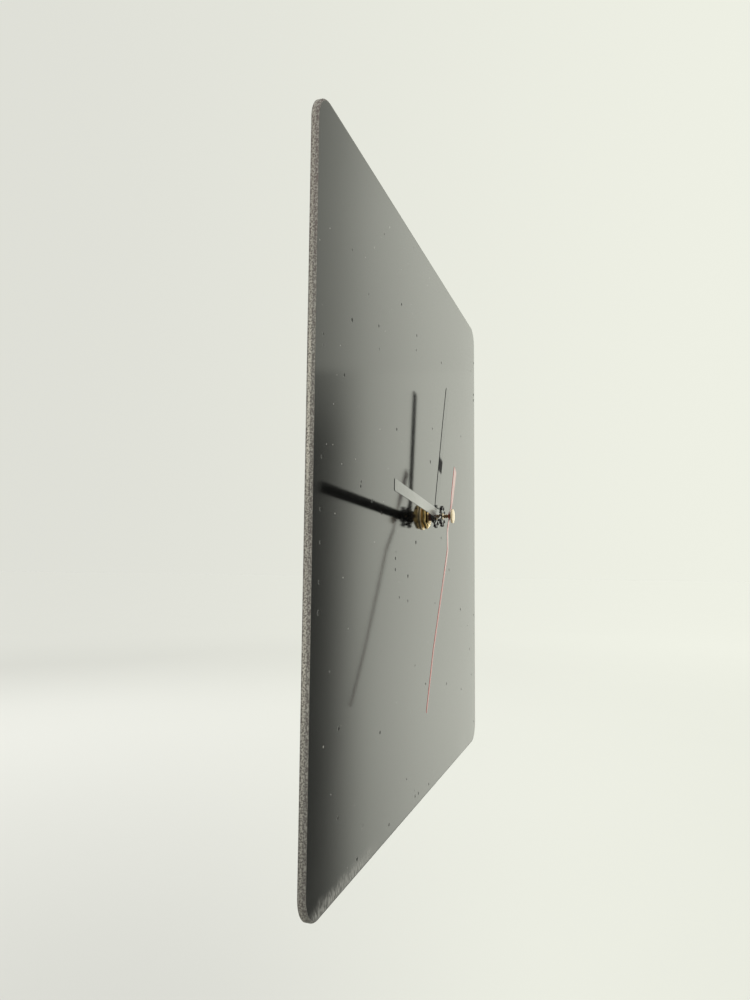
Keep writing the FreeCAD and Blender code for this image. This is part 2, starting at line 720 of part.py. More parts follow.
def circuit():
    """The board, the drop of resin over its chip, and the crystal's can with its leads."""
    board = new_body("circuit_board")
    block(board, "board", "board_width", "board_height", "board_start", "board_thickness",
          across="board_across", up="board_up")
    cylinder(board, "fixing_hole", "board_hole", "board_start", "board_thickness",
             "board_across", "board_up + board_height / 2 - board_hole", cut=True)
    front = "board_start + board_thickness"
    chip = new_body("chip_cap")
    cylinder(chip, "resin", "chip_diameter", front, "chip_height", "board_across", "board_up")
    dress(chip, "Fillet", "resin_dome", "chip_height * 0.9", "front")
    crystal = new_body("quartz_crystal")
    can_up = "(board_up + crystal_rise)"
    can_station = f"{front} + crystal_diameter / 2 + lid_gap"
    cylinder(crystal, "can", "crystal_diameter", can_station, "crystal_length",
             "board_across", can_up, axis="up")
    for side in (-1, 1):
        cylinder(crystal, "lead", "lead_diameter", can_station, "lead_length",
                 f"board_across + {side} * lead_spread", f"{can_up} - lead_length + lid_gap",
                 axis="up")


def battery():
    """A round cell: wrapped can, steel cap at the right and steel base at the left."""
    sleeve = new_body("battery_sleeve")
    cylinder(sleeve, "can", "battery_diameter", "battery_station", "battery_length",
             "battery_left", "battery_up", axis="right")
    cap = new_body("battery_cap")
    cylinder(cap, "button", "battery_cap_diameter", "battery_station", "battery_cap_height",
             "battery_left + battery_length", "battery_up", axis="right")
    base = new_body("battery_base")
    cylinder(base, "disc", "battery_base_diameter", "battery_station", "battery_base_height",
             "battery_left - battery_base_height", "battery_up", axis="right")


def battery_contacts():
    """Sprung strips: a plain one with a pip at the right, a bent leaf at the left."""
    positive = new_body("battery_contact_positive")
    right = f"({INNER_WIDTH} / 2 - contact_room)"
    strip = ("contact_thickness", "contact_height", "contact_start", "contact_depth")
    block(positive, "strip", *strip, across=f"{right} + contact_thickness / 2",
          up="battery_up + contact_rise")
    cylinder(positive, "pip", "contact_pip", "battery_station", "contact_pip_height",
             f"{right} - contact_pip_height", "battery_up", axis="right")
    negative = new_body("battery_contact_negative")
    block(negative, "strip", *strip, across=f"-{right} - contact_thickness / 2",
          up="battery_up + contact_rise")
    left = size("contact_room") + size("case_wall") - size("case_width") / 2
    seat = left - size("press_gap")
    near = left + size("contact_bow_reach")
    bow_half, flat_half = 2.6, 0.6
    middle = -size("battery_station")
    thin = size("contact_thickness")
    lap = 1.6 * thin
    bow = [(seat, middle + bow_half), (near, middle + flat_half), (near, middle - flat_half),
           (seat, middle - bow_half), (seat, middle - bow_half + lap), (near - thin, middle),
           (seat, middle + bow_half - lap)]
    outline(negative, "bow", [bow], "battery_up - contact_bow_width / 2", "contact_bow_width",
            plane="XY_Plane")


def setting_knob():
    """The knob, its shaft and the gear that turns the motion work, in one moulding."""
    body = new_body("setting_knob", *KNOB)
    cylinder(body, "knob", "knob_diameter", "knob_start", "knob_thickness")
    reach = size("knob_diameter") / 2
    for rib in range(12):
        turn = math.radians(30 * rib)
        cylinder(body, "grip_groove", "knob_groove", 0, "2 * knob_thickness",
                 round(reach * math.cos(turn), 4), round(reach * math.sin(turn), 4), cut=True)
    shaft_start = "knob_start + knob_thickness"
    cylinder(body, "shaft", "knob_shaft", shaft_start, f"knob_shaft_end - ({shaft_start})")
    cylinder(body, "pivot", "post_diameter", "knob_shaft_end", "knob_pivot_length")
    pitch = 360 / TEETH["motion"]
    lag = (facing_gap("motion_angle", "motion") - size("knob_angle")) % pitch
    ratio = TEETH["motion"] / TEETH["knob"]
    gear(body, "gear", "knob", size("motion_module"), facing_gap("knob_angle", "knob") - ratio * lag,
         "motion_wheel_start", "motion_wheel_thickness")


# ---- hands -------------------------------------------------------------------------

def hand(label, bearing, side_line, plan, hub, bore, thickness="hand_thickness"):
    """A stamped hand that lies along +Z, turned clockwise to its bearing.

    side_line gives the back face as (reach, station); plan gives (reach, half width).
    """
    body = new_body(label)
    body.Placement = Placement(Vector(), Rotation(Vector(0, 1, 0), 1))
    bind(body, Placement__Rotation__Angle=bearing)
    thick = size(thickness)
    back = [(-station, reach) for reach, station in side_line]
    front = [(-station - thick, reach) for reach, station in reversed(side_line)]
    widest = max(half for _, half in plan)
    outline(body, "strip", [back + front], -widest, 2 * widest, plane="YZ_Plane")
    border = 2 * size("minute_length")
    frame = [(-border, -border), (border, -border), (border, border), (-border, border)]
    right = [(half, reach) for reach, half in plan]
    left = [(-half, reach) for reach, half in reversed(plan)]
    outline(body, "plan", [frame, right + left], 0, "2 * seconds_arbor_end", cut=True)
    hub_station = next(station for reach, station in side_line if reach > 0)
    cylinder(body, "hub", hub, hub_station, thickness)
    cylinder(body, "bore", f"{bore} + press_gap", 0, "2 * seconds_arbor_end", cut=True)


def baton_hands():
    """Hour and minute batons, flat near the hub and then bent outwards."""
    bend_reach, root_reach, root_half = 8, -2, 1
    tip, station, half = size("hour_length"), size("hour_station"), size("hour_width") / 2
    side_line = [(root_reach, station), (bend_reach, station), (tip, station + size("hour_rise"))]
    plan = [(root_reach, root_half), (4, half - 0.5), (0.72 * tip, half), (tip - 2, half - 0.2),
            (tip, half - 1.2)]
    hand("hour_hand", "hour_bearing", side_line, plan, "hour_hub", "hour_tube_diameter")
    tip, station, half = size("minute_length"), size("minute_station"), size("minute_width") / 2
    side_line = [(root_reach, station), (bend_reach, station),
                 (tip, station + size("minute_rise"))]
    plan = [(root_reach, root_half), (0, half), (tip - 1, half), (tip, half - 0.8)]
    hand("minute_hand", "minute_bearing", side_line, plan, "minute_hub", "minute_pipe_diameter")


def seconds_needle():
    """A needle that steps outwards past its hub, with a tail that widens and falls back."""
    tip, tail, station = size("second_length"), size("second_tail"), size("second_station")
    step = size("second_step")
    side_line = [(-tail, station - size("second_tail_fall")), (-8, station), (9, station),
                 (22, station + step), (80, station + step + 0.3),
                 (tip, station + size("second_rise"))]
    half, tail_half = size("second_width") / 2, size("second_tail_width") / 2
    plan = [(-tail, tail_half - 0.5), (1 - tail, tail_half), (-14, tail_half - 0.5),
            (-5, half + 0.5), (0, half + 0.2), (tip / 2, half), (tip, half / 2)]
    hand("second_hand", "second_bearing", side_line, plan, "second_hub", "second_tube_diameter",
         "needle_thickness")


def second_hand_fittings():
    """The collet that grips the seconds arbor, and the round cap over the hand's hub."""
    tube = new_body("second_hand_tube")
    length = "second_tube_end - second_tube_start"
    cylinder(tube, "tube", "second_tube_diameter", "second_tube_start", length)
    cylinder(tube, "tube_bore", "seconds_arbor_diameter + press_gap", "second_tube_start",
             length, cut=True)
    cap = new_body("second_hand_cap")
    cylinder(cap, "disc", "cap_diameter", "cap_start", "cap_thickness")
    dress(cap, "Fillet", "cap_rim", "cap_thickness * 0.4", "front")
    cylinder(cap, "tube_seat", "second_tube_diameter + press_gap", "cap_start",
             "second_tube_end - cap_start", cut=True)


# ---- build, check and write --------------------------------------------------------

for make in (dial_panel, front_washer, hex_nut, rubber_washer, hanger_plate, threaded_bushing,
             case_front, case_back, middle_plate, hour_wheel, motion_wheel, minute_pipe,
             clutch_spring, centre_gear, seconds_wheel, third_wheel, intermediate_wheel,
             rotor_pinion, rotor_magnet, stator_plate, coil, circuit, battery, battery_contacts,
             setting_knob, baton_hands, seconds_needle, second_hand_fittings):
    make()
arbor("seconds_arbor", CENTRE, "seconds_arbor_diameter", "seconds_arbor_end")
arbor("third_arbor", THIRD, "arbor_diameter", "arbor_end")
arbor("intermediate_arbor", INTERMEDIATE, "arbor_diameter", "arbor_end")
arbor("rotor_arbor", ROTOR, "arbor_diameter", "arbor_end")
doc.recompute()

for thing in doc.Objects:
    if "Invalid" in thing.State or "Error" in thing.State:
        raise RuntimeError(f"{thing.Label} failed: {thing.State}")

os.makedirs("parts", exist_ok=True)
for body in (thing for thing in doc.Objects if thing.TypeId == "PartDesign::Body"):
    shape = body.Shape
    if shape.isNull() or not shape.isValid() or not shape.Solids:
        raise RuntimeError(f"{body.Label} has no valid solid")
    shape.exportStep(f"parts/{body.Label}.step")
    print(f"{body.Label:26s} {len(shape.Solids)} solid(s) {shape.Volume:12.3f} mm3")
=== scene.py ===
import json
import math

import bmesh
import bpy
from mathutils import Euler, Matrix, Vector

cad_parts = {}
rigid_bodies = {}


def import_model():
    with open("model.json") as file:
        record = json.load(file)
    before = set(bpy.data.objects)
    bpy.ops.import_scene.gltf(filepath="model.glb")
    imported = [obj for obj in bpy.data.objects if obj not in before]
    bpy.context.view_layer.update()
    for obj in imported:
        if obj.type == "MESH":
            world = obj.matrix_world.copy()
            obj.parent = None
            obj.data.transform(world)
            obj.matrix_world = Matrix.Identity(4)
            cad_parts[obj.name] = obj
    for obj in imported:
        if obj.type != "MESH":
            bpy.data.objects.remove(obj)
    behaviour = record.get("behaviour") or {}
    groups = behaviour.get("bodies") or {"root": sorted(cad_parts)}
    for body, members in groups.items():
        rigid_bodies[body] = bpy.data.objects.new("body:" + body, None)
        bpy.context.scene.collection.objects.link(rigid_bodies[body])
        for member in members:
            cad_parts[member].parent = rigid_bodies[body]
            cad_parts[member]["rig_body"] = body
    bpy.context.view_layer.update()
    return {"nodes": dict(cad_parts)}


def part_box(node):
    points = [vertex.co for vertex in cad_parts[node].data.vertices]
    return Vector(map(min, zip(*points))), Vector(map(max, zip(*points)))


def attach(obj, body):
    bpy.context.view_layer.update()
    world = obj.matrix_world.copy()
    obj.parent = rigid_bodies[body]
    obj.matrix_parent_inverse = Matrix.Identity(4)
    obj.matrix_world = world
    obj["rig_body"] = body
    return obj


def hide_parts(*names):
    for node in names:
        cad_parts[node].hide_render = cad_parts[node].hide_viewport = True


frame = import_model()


# ---- Camera ------------------------------------------------------------------------
# The clock is seen from its left, close to the wall and a little below its middle, through
# a wide lens.

CAMERA_PLACE = (-0.38303, -0.122997, -0.026923)
CAMERA_YAW, CAMERA_PITCH, CAMERA_ROLL = 1.244572, 0.0902192, 0.00942652
LENS_LENGTH = 26.17
bpy.ops.object.camera_add(location=CAMERA_PLACE)
camera = bpy.context.object
camera.name = "viewing_camera"
turn = (Euler((0, 0, -CAMERA_YAW)).to_matrix()
        @ Euler((math.pi / 2 + CAMERA_PITCH, 0, 0)).to_matrix()
        @ Euler((0, 0, CAMERA_ROLL)).to_matrix())
camera.rotation_euler = turn.to_euler()
camera.data.lens = LENS_LENGTH
camera.data.sensor_width = 36.0
camera.data.clip_start = 0.01
bpy.context.scene.camera = camera
bpy.context.scene.view_settings.view_transform = "Standard"


# ---- Studio: pale room, lights and floor -------------------------------------------
# A pale room gives soft light from all round. Polished surfaces see it brighter to the
# right of the clock and darker in front and to the left, so that gloss has shape.

class Wire:
    """A node's socket that arithmetic can be written on."""

    def __init__(self, bench, socket):
        self.bench = bench
        self.socket = socket

    def __add__(self, other):
        return self.bench.maths("ADD", self, other)

    def __radd__(self, other):
        return self.bench.maths("ADD", other, self)

    def __sub__(self, other):
        return self.bench.maths("SUBTRACT", self, other)

    def __rsub__(self, other):
        return self.bench.maths("SUBTRACT", other, self)

    def __mul__(self, other):
        return self.bench.maths("MULTIPLY", self, other)

    def __rmul__(self, other):
        return self.bench.maths("MULTIPLY", other, self)

    def __truediv__(self, other):
        return self.bench.maths("DIVIDE", self, other)

    def __lt__(self, other):
        return self.bench.maths("LESS_THAN", self, other)

    def __abs__(self):
        return self.bench.maths("ABSOLUTE", self)


class Bench:
    """Adds nodes to one tree and joins them up."""

    def __init__(self, tree):
        self.tree = tree
        tree.nodes.clear()

    def node(self, kind, settings=None, sockets=None, out=0):
        """Makes one node, sets it, fills or joins its inputs, and gives one output."""
        made = self.tree.nodes.new(kind)
        for name, value in (settings or {}).items():
            setattr(made, name, value)
        for name, value in (sockets or {}).items():
            if isinstance(value, Wire):
                self.tree.links.new(value.socket, made.inputs[name])
            else:
                made.inputs[name].default_value = value
        return Wire(self, made.outputs[out]) if made.outputs else None

    def maths(self, operation, *values):
        return self.node("ShaderNodeMath", {"operation": operation}, dict(enumerate(values)))

    def grade(self, value, low, high, at_low=0.0, at_high=1.0):
        """Goes smoothly from one amount at low to another at high."""
        return self.node("ShaderNodeMapRange", {"interpolation_type": "SMOOTHSTEP"},
                         {"Value": value, "From Min": low, "From Max": high, "To Min": at_low,
                          "To Max": at_high})

    def mix(self, amount, first, second):
        """Goes from the first colour to the second."""
        return self.node("ShaderNodeMix", {"data_type": "RGBA"},
                         {0: amount, 6: first, 7: second}, 2)

    def tint(self, colour, amount):
        """A colour made lighter or darker by an amount that varies."""
        return self.node("ShaderNodeVectorMath", {"operation": "SCALE"},
                         {0: colour, "Scale": amount})

    def split(self, vector):
        """The three parts of a vector or a colour."""
        made = self.node("ShaderNodeSeparateXYZ", {}, {0: vector})
        return [Wire(self, socket) for socket in made.socket.node.outputs]


world = bpy.data.worlds.new("pale_room")
bpy.context.scene.world = world
world.use_nodes = True
room = Bench(world.node_tree)
DEGREES = 180 / math.pi
east, north, high = room.split(room.node("ShaderNodeTexCoord", out="Generated"))
# Angles in degrees: around from the wall's right end towards the front, and lift upwards.
around = room.maths("ARCTAN2", 0 - north, east) * DEGREES
lift = room.maths("ARCSINE", high) * DEGREES
# What gloss sees is bright up to 20 degrees round, then dimmer above and nearly dark below.
upper = room.grade(around, 18.4, 24.0, 1.37, 0.78) * room.grade(around, 28.0, 70.0, 1.0, 0.72)
lower = room.grade(around, 18.9, 22.9, 1.46, 0.13) * room.grade(around, 28.0, 70.0, 1.0, 2.5)
above = room.grade(lift, 15.0, 15.3) * 0.5 + room.grade(lift, 8.5, 15.2) * 0.5
level = (lower + (upper - lower) * above) * room.grade(around, 10.5, 15.5, 0.84, 1.0)
level = level * room.grade(lift, -26.0, -8.0, 0.78, 1.0) * room.grade(lift, 25.0, 34.0, 1.0, 0.88)
# A brighter strip lies close to the wall, and it is dimmer behind the wall's plane.
level = level + room.grade(around, 9.0, 9.9, 0.7, 0.0) * room.grade(around, -4.0, 2.0)
level = level * room.grade(around, -30.0, -2.0, 0.62, 1.0)
is_camera = room.node("ShaderNodeLightPath", out="Is Camera Ray")
is_glossy = room.node("ShaderNodeLightPath", out="Is Glossy Ray")
# The room is paler towards the viewer's right; the floor is painted paler that way too, as painted
# light.
RIGHT_EAST, RIGHT_NORTH = 0.32, -0.947
across = RIGHT_EAST * east + RIGHT_NORTH * north
backdrop = room.mix(room.grade(across, -0.5, 0.5), (0.735, 0.740, 0.680, 1),
                    (0.855, 0.870, 0.775, 1))
reflected = room.tint((0.98, 1.0, 0.88), level)
seen = room.mix(is_glossy, (0.95, 0.95, 0.92, 1), reflected)
glow = room.node("ShaderNodeBackground", {}, {"Color": room.mix(is_camera, seen, backdrop),
                                              "Strength": 1.0})
room.node("ShaderNodeOutputWorld", {}, {"Surface": glow})


def soft_light(name, place, width, power):
    """A square soft box that points at the clock."""
    bpy.ops.object.light_add(type="AREA", location=place)
    box = bpy.context.object
    box.name = name
    box.rotation_euler = (-Vector(place)).to_track_quat("-Z", "Y").to_euler()
    box.data.shape = "SQUARE"
    box.data.size = width
    box.data.energy = power
    box.visible_camera = False


soft_light("key_light", (-1.1, -1.9, 1.7), 1.4, 10.0)
soft_light("back_light", (1.3, 1.8, 1.4), 1.2, 18.0)


def deselect():
    """Leaves nothing selected, in object mode."""
    if bpy.context.object and bpy.context.object.mode != "OBJECT":
        bpy.ops.object.mode_set(mode="OBJECT")
    bpy.ops.object.select_all(action="DESELECT")


FLOOR_HEIGHT = -0.5
FLOOR_WIDTH = 60.0
deselect()
bpy.ops.mesh.primitive_plane_add(size=FLOOR_WIDTH, location=(0, 0, FLOOR_HEIGHT))
floor = bpy.context.object
floor.name = "studio_floor"
bpy.ops.object.transform_apply(location=True)
floor.visible_glossy = False


class Finish(Bench):
    """A material: one Principled shader, whose constants are set when it is made."""

    def __init__(self, name, constants):
        self.material = bpy.data.materials.new(name)
        self.material.use_nodes = True
        super().__init__(self.material.node_tree)
        self.shader = self.node("ShaderNodeBsdfPrincipled", {}, constants).socket.node
        self.node("ShaderNodeOutputMaterial", {}, {"Surface": Wire(self, self.shader.outputs[0])})
        self.place = self.node("ShaderNodeTexCoord", out="Object")
        self.x, self.y, self.z = self.split(self.place)

    def vary(self, **links):
        """Joins what changes over the surface to the shader."""
        for name, wire in links.items():
            self.tree.links.new(wire.socket, self.shader.inputs[name.replace("_", " ")])
        return self.material

    def noise(self, scale, detail=2.0, stretch=(1, 1, 1), where=None):
        """Soft random variation, finer for a larger scale and longer along a small stretch."""
        mapped = self.node("ShaderNodeMapping", {},
                           {"Vector": where or self.place, "Scale": stretch})
        return self.node("ShaderNodeTexNoise", {}, {"Vector": mapped, "Scale": scale,
                                                    "Detail": detail})

    def specks(self, scale, size, share):
        """Round dots about as far apart as 1 / scale, on a share of the places."""
        cells = self.node("ShaderNodeTexVoronoi", {}, {"Vector": self.place, "Scale": scale})
        chance = self.split(Wire(self, cells.socket.node.outputs["Color"]))[0]
        return self.grade(cells, size * scale, 0.5 * size * scale) * (chance < share)

    def raised(self, height, depth, strength=1.0):
        """A bump of the height given, over a depth in metres."""
        return self.node("ShaderNodeBump", {}, {"Height": height, "Distance": depth,
                                                "Strength": strength})


paper = Finish("floor_paper", {"Roughness": 0.9, "Specular IOR Level": 0.0})
away = paper.maths("SQRT", paper.x * paper.x + paper.y * paper.y + 0.05)
to_right = (RIGHT_EAST * paper.x + RIGHT_NORTH * paper.y) / away
# The floor is painted paler towards the viewer's right: painted light.
paper_tone = paper.mix(paper.grade(to_right, -0.5, 0.5), (0.774, 0.779, 0.739, 1),
                       (0.90, 0.916, 0.842, 1))
# It is painted darker within a few metres of the clock, a painted shadow pool, with faint mottling.
floor_painted_shade_and_mottle = paper.grade(away, 0.4, 5.0, 0.80, 1.0) + paper.noise(3.0, 3.0) * 0.01
paper_tone = paper.tint(paper_tone, floor_painted_shade_and_mottle)
floor.data.materials.append(paper.vary(Base_Color=paper_tone))


# ---- Dial plate --------------------------------------------------------------------
# One square of 3 mm toughened glass, black behind and polished in front, with rounded
# corners. Its border is ground on a belt, with a wide front arris, and left unpolished.

MM = 0.001


def pick(kind, wanted):
    """Selects only the vertices, edges or faces, of the mesh being edited, that are wanted."""
    bpy.ops.mesh.select_mode(type={"verts": "VERT", "edges": "EDGE", "faces": "FACE"}[kind])
    bpy.ops.mesh.select_all(action="DESELECT")
    mesh = bmesh.from_edit_mesh(bpy.context.object.data)
    for item in getattr(mesh, kind):
        if wanted(item):
            item.select_set(True)
    mesh.select_flush_mode()
    bmesh.update_edit_mesh(bpy.context.object.data)


def take_up(piece):
    """Makes a piece the only one selected, and the active one."""
    deselect()
    piece.select_set(True)
    bpy.context.view_layer.objects.active = piece


def start_edit(piece):
    """Opens a piece's mesh for editing, all of it selected."""
    take_up(piece)
    bpy.ops.object.mode_set(mode="EDIT")
    bpy.ops.mesh.select_all(action="SELECT")


def soften(piece, angle):
    """Shades a piece smooth, but for its edges sharper than an angle in degrees."""
    take_up(piece)
    bpy.ops.object.shade_smooth_by_angle(angle=math.radians(angle))


def set_place():
    """Moves a new piece's place, turn and size into its mesh."""
    bpy.ops.object.transform_apply(location=True, rotation=True, scale=True)


SEAM = 0.001 * MM


def tidy_mesh(smooth_angle=35.0):
    """Closes seams, points faces outwards, and leaves edit mode with soft shading."""
    bpy.ops.mesh.select_all(action="SELECT")
    bpy.ops.mesh.remove_doubles(threshold=SEAM)
    bpy.ops.mesh.normals_make_consistent(inside=False)
    bpy.ops.object.mode_set(mode="OBJECT")
    bpy.ops.object.shade_smooth_by_angle(angle=math.radians(smooth_angle))


def finish_with(piece, kind, **settings):
    """Adds a modifier to a piece and applies it."""
    take_up(piece)
    modifier = piece.modifiers.new(kind.lower(), kind)
    for name, value in settings.items():
        setattr(modifier, name, value)
    bpy.ops.object.modifier_apply(modifier=modifier.name)


def cut_away(piece, tool, operation="DIFFERENCE"):
    """Cuts a piece with another mesh, which is then thrown away."""
    finish_with(piece, "BOOLEAN", object=tool, operation=operation, solver="EXACT")
    bpy.data.objects.remove(tool)


def block(name, low, high):
    """A block between two corners, in millimetres, ready to be shaped in edit mode."""
    deselect()
    middle = [(a + b) / 2 * MM for a, b in zip(low, high)]
    bpy.ops.mesh.primitive_cube_add(size=1, location=middle)
    piece = bpy.context.object
    piece.name = name
    piece.scale = [(b - a) * MM for a, b in zip(low, high)]
    set_place()
    start_edit(piece)
    return piece


def turned(name, profile, across=0.0, up=0.0, sides=96):
    """A ring or bar shaped as on a lathe, from (radius, station) pairs in millimetres.

    A station is a distance from the wall. Open ends are filled.
    """
    deselect()
    radius, station = profile[0]
    bpy.ops.mesh.primitive_circle_add(vertices=sides, radius=radius * MM,
                                      location=(across * MM, -station * MM, up * MM),
                                      rotation=(math.pi / 2, 0, 0))
    piece = bpy.context.object
    piece.name = name
    set_place()
    start_edit(piece)
    for next_radius, next_station in profile[1:]:
        bpy.ops.mesh.extrude_edges_move(
            TRANSFORM_OT_translate={"value": (0, (station - next_station) * MM, 0)})
        share = next_radius / radius
        bpy.ops.transform.resize(value=(share, 1, share),
                                 center_override=(across * MM, -next_station * MM, up * MM))
        radius, station = next_radius, next_station
    bpy.ops.mesh.select_all(action="SELECT")
    bpy.ops.mesh.remove_doubles(threshold=SEAM)
    bpy.ops.mesh.select_mode(type="EDGE")
    bpy.ops.mesh.select_non_manifold()
    bpy.ops.mesh.fill_holes(sides=0)
    return piece


low, high_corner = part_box("dial_panel")
HALF = high_corner.x / MM
DIAL_BACK = -high_corner.y / MM
DIAL_FACE = -low.y / MM
CORNER_RADIUS = 12.0
FRONT_ARRIS, BACK_ARRIS = 0.8, 0.4
SHAFT_HOLE = 8.6
PLATE_SMOOTH = 6
HAIR = 1e-6
FLAT = 0.999

dial = block("dial_plate", (-HALF, -DIAL_FACE, -HALF), (HALF, -DIAL_BACK, HALF))
pick("edges", lambda edge: abs(edge.verts[0].co.y - edge.verts[1].co.y) > MM)
bpy.ops.mesh.bevel(offset=CORNER_RADIUS * MM, segments=28, affect="EDGES")
pick("edges", lambda edge: all(v.co.y < low.y + HAIR for v in edge.verts))
bpy.ops.mesh.bevel(offset=FRONT_ARRIS * MM, segments=4, profile=0.45, affect="EDGES")
pick("edges", lambda edge: all(v.co.y > high_corner.y - HAIR for v in edge.verts))
bpy.ops.mesh.bevel(offset=BACK_ARRIS * MM, segments=3, affect="EDGES")
tidy_mesh(PLATE_SMOOTH)
drill = turned("drill", [(SHAFT_HOLE / 2, DIAL_BACK - 1), (SHAFT_HOLE / 2, DIAL_FACE + 1)])
tidy_mesh()
cut_away(dial, drill)
soften(dial, PLATE_SMOOTH)

glass = Finish("black_glass_face", {"IOR": 1.5})
smear = glass.noise(30.0, 4.0)
to_side = abs(glass.x) - (HALF - CORNER_RADIUS) * MM
to_end = abs(glass.z) - (HALF - CORNER_RADIUS) * MM
corner_x = glass.maths("MAXIMUM", to_side, 0.0)
corner_z = glass.maths("MAXIMUM", to_end, 0.0)
corner = glass.maths("SQRT", corner_x * corner_x + corner_z * corner_z)
nearest = glass.maths("MINIMUM", glass.maths("MAXIMUM", to_side, to_end), 0.0)
inset = (CORNER_RADIUS * MM) - corner - nearest
streaks = glass.grade(glass.noise(1500.0, 4.0, (1.0, 1.0, 0.3)), 0.34, 0.66, 0.15, 1.0)
along = glass.grade(glass.x, -0.149, -0.138) * glass.grade(glass.x, -0.066, -0.100)
patch = streaks * along * glass.grade(glass.z + glass.noise(170.0, 3.0) * 0.004, -0.1405, -0.1455)
haze = glass.grade(glass.z, -0.125, -0.148) * glass.grade(glass.noise(38.0, 5.0), 0.35, 0.8) * 0.022
dust = glass.specks(320.0, 0.0004, 0.08) + glass.specks(80.0, 0.0008, 0.22)
pits = glass.specks(62.0, 0.0014, 0.32) + glass.specks(140.0, 0.0010, 0.16)
scuffs = glass.grade(glass.noise(900.0, 2.0, (0.02, 1.0, 1.0)), 0.70, 0.78) * glass.grade(
    glass.noise(14.0), 0.52, 0.68)
border = glass.grade(inset, 0.0013, 0.0009)
marked = glass.maths("MINIMUM", patch * 0.36 + haze + dust * 0.45 + scuffs * 0.02, 1.0)
face_tone = glass.mix(smear, (0.003, 0.0031, 0.003, 1), (0.006, 0.0062, 0.0058, 1))
face_tone = glass.mix(marked, face_tone, (0.62, 0.60, 0.56, 1))
hollows = glass.maths("MINIMUM", pits + border * 0.6, 1.0)
face_tone = glass.mix(hollows, face_tone, (0.002, 0.002, 0.002, 1))
face_rough = 0.095 + smear * 0.02 + marked * 0.4 + pits * 0.5 + border * 0.2
face_bump = glass.raised(glass.noise(16.0) * 0.6 - pits * 0.8 - border * 0.3, 0.00012, 0.25)
glass.vary(Base_Color=face_tone, Roughness=face_rough, Normal=face_bump)

ground = Finish("ground_glass_edge", {"IOR": 1.5, "Specular IOR Level": 0.35})
grit = ground.noise(2600.0, 3.0)
speckle = ground.noise(1500.0, 4.0)
height = ground.noise(9.0, 3.0)
station = 0 - ground.y
# The grit is painted pale in a band across the middle of the border's thickness, most at two ranges of
# height: painted light.
line = (ground.grade(station, (DIAL_BACK + 0.35) * MM, (DIAL_BACK + 0.9) * MM)
        * ground.grade(station, (DIAL_FACE - 0.9) * MM, (DIAL_FACE - 1.5) * MM))
lit_heights = ground.grade(ground.z, -0.005, 0.012) * ground.grade(ground.z, 0.075, 0.045)
lit_heights = lit_heights + ground.grade(ground.z, -0.085, -0.06) * ground.grade(
    ground.z, -0.030, -0.045) * 0.5
painted_light_speckle = line * ground.grade(speckle, 0.34, 0.60) * (0.42 + lit_heights * 0.58)
brown = ground.mix(ground.grade(height, 0.35, 0.65), (0.115, 0.105, 0.094, 1),
                   (0.130, 0.100, 0.094, 1))
rim_tone = ground.mix(ground.grade(speckle, 0.42, 0.62), brown, (0.31, 0.30, 0.27, 1))
rim_tone = ground.mix(painted_light_speckle, rim_tone, (0.56, 0.53, 0.46, 1))
rim_tone = ground.mix(ground.grade(grit, 0.58, 0.76) * 0.7, rim_tone, (0.05, 0.043, 0.042, 1))
# The border is painted darker towards the bottom: painted shade.
rim_tone = ground.tint(rim_tone, ground.grade(ground.z, -0.15, -0.06, 0.66, 1.0))
ground.vary(Base_Color=rim_tone, Roughness=0.5 + grit * 0.3,
            Normal=ground.raised(grit + speckle, 0.00018, 0.7))

painted = Finish("painted_glass_back", {"IOR": 1.45})
roller = painted.noise(700.0, 3.0)
painted.vary(Base_Color=painted.mix(painted.noise(25.0, 3.0), (0.016, 0.016, 0.017, 1),
                                    (0.034, 0.034, 0.035, 1)),
             Roughness=0.42 + roller * 0.2, Normal=painted.raised(roller, 0.00006, 0.5))

for finish in (glass, ground, painted):
    dial.data.materials.append(finish.material)
for face in dial.data.polygons:
    if face.normal.y < -FLAT:
        face.material_index = 0
    elif face.normal.y > FLAT:
        face.material_index = 2
    else:
        face.material_index = 1
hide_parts("dial_panel")
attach(dial, "movement")


# ---- Brass washer and fixing nut ---------------------------------------------------
# A blanked brass washer, tumbled so that its rim is soft, lies on the glass. A milled
# hexagon nut, turned to a cone on both sides, is screwed down on it and clamps the stack.

def brass(name, tone, rough, marks, turning=True, centre=(0.0, 0.0)):
    """Brass with tool marks round the axis, or along the flats, and a thin tarnish."""
    metal = Finish(name, {"Metallic": 1.0})
    tarnish = metal.noise(420.0, 4.0)
    if turning:
        x_from = metal.x - centre[0]
        z_from = metal.z - centre[1]
        radius = metal.maths("SQRT", x_from * x_from + z_from * z_from)
        where = metal.node("ShaderNodeCombineXYZ", {}, {0: radius, 1: metal.y})
        lines = metal.noise(marks, 2.0, (1, 1, 1), where)
    else:
        lines = metal.noise(marks, 2.0, (1.0, 0.12, 1.0))
    darker = tuple(part * 0.62 for part in tone)
    colour = metal.mix(metal.grade(tarnish, 0.38, 0.72), (*tone, 1), (*darker, 1))
    metal.vary(Base_Color=colour, Roughness=rough + tarnish * 0.12 + lines * 0.06,
               Normal=metal.raised(lines, 0.00002, 0.6))
    return metal.material


WASHER_THICK = 0.9
WASHER_TOP = DIAL_FACE + WASHER_THICK
washer = turned("clamp_washer", [(4.15, DIAL_FACE + 0.1), (4.3, DIAL_FACE), (7.1, DIAL_FACE),
                                 (7.27, DIAL_FACE + 0.12), (7.3, DIAL_FACE + 0.3),
                                 (7.3, WASHER_TOP - 0.28), (7.24, WASHER_TOP - 0.1),
                                 (7.05, WASHER_TOP), (4.35, WASHER_TOP), (4.15, WASHER_TOP - 0.12),
                                 (4.15, DIAL_FACE + 0.1)])
tidy_mesh()
washer.data.materials.append(brass("satin_washer_brass", (0.86, 0.70, 0.46), 0.24, 5200.0))
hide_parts("front_washer")
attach(washer, "movement")

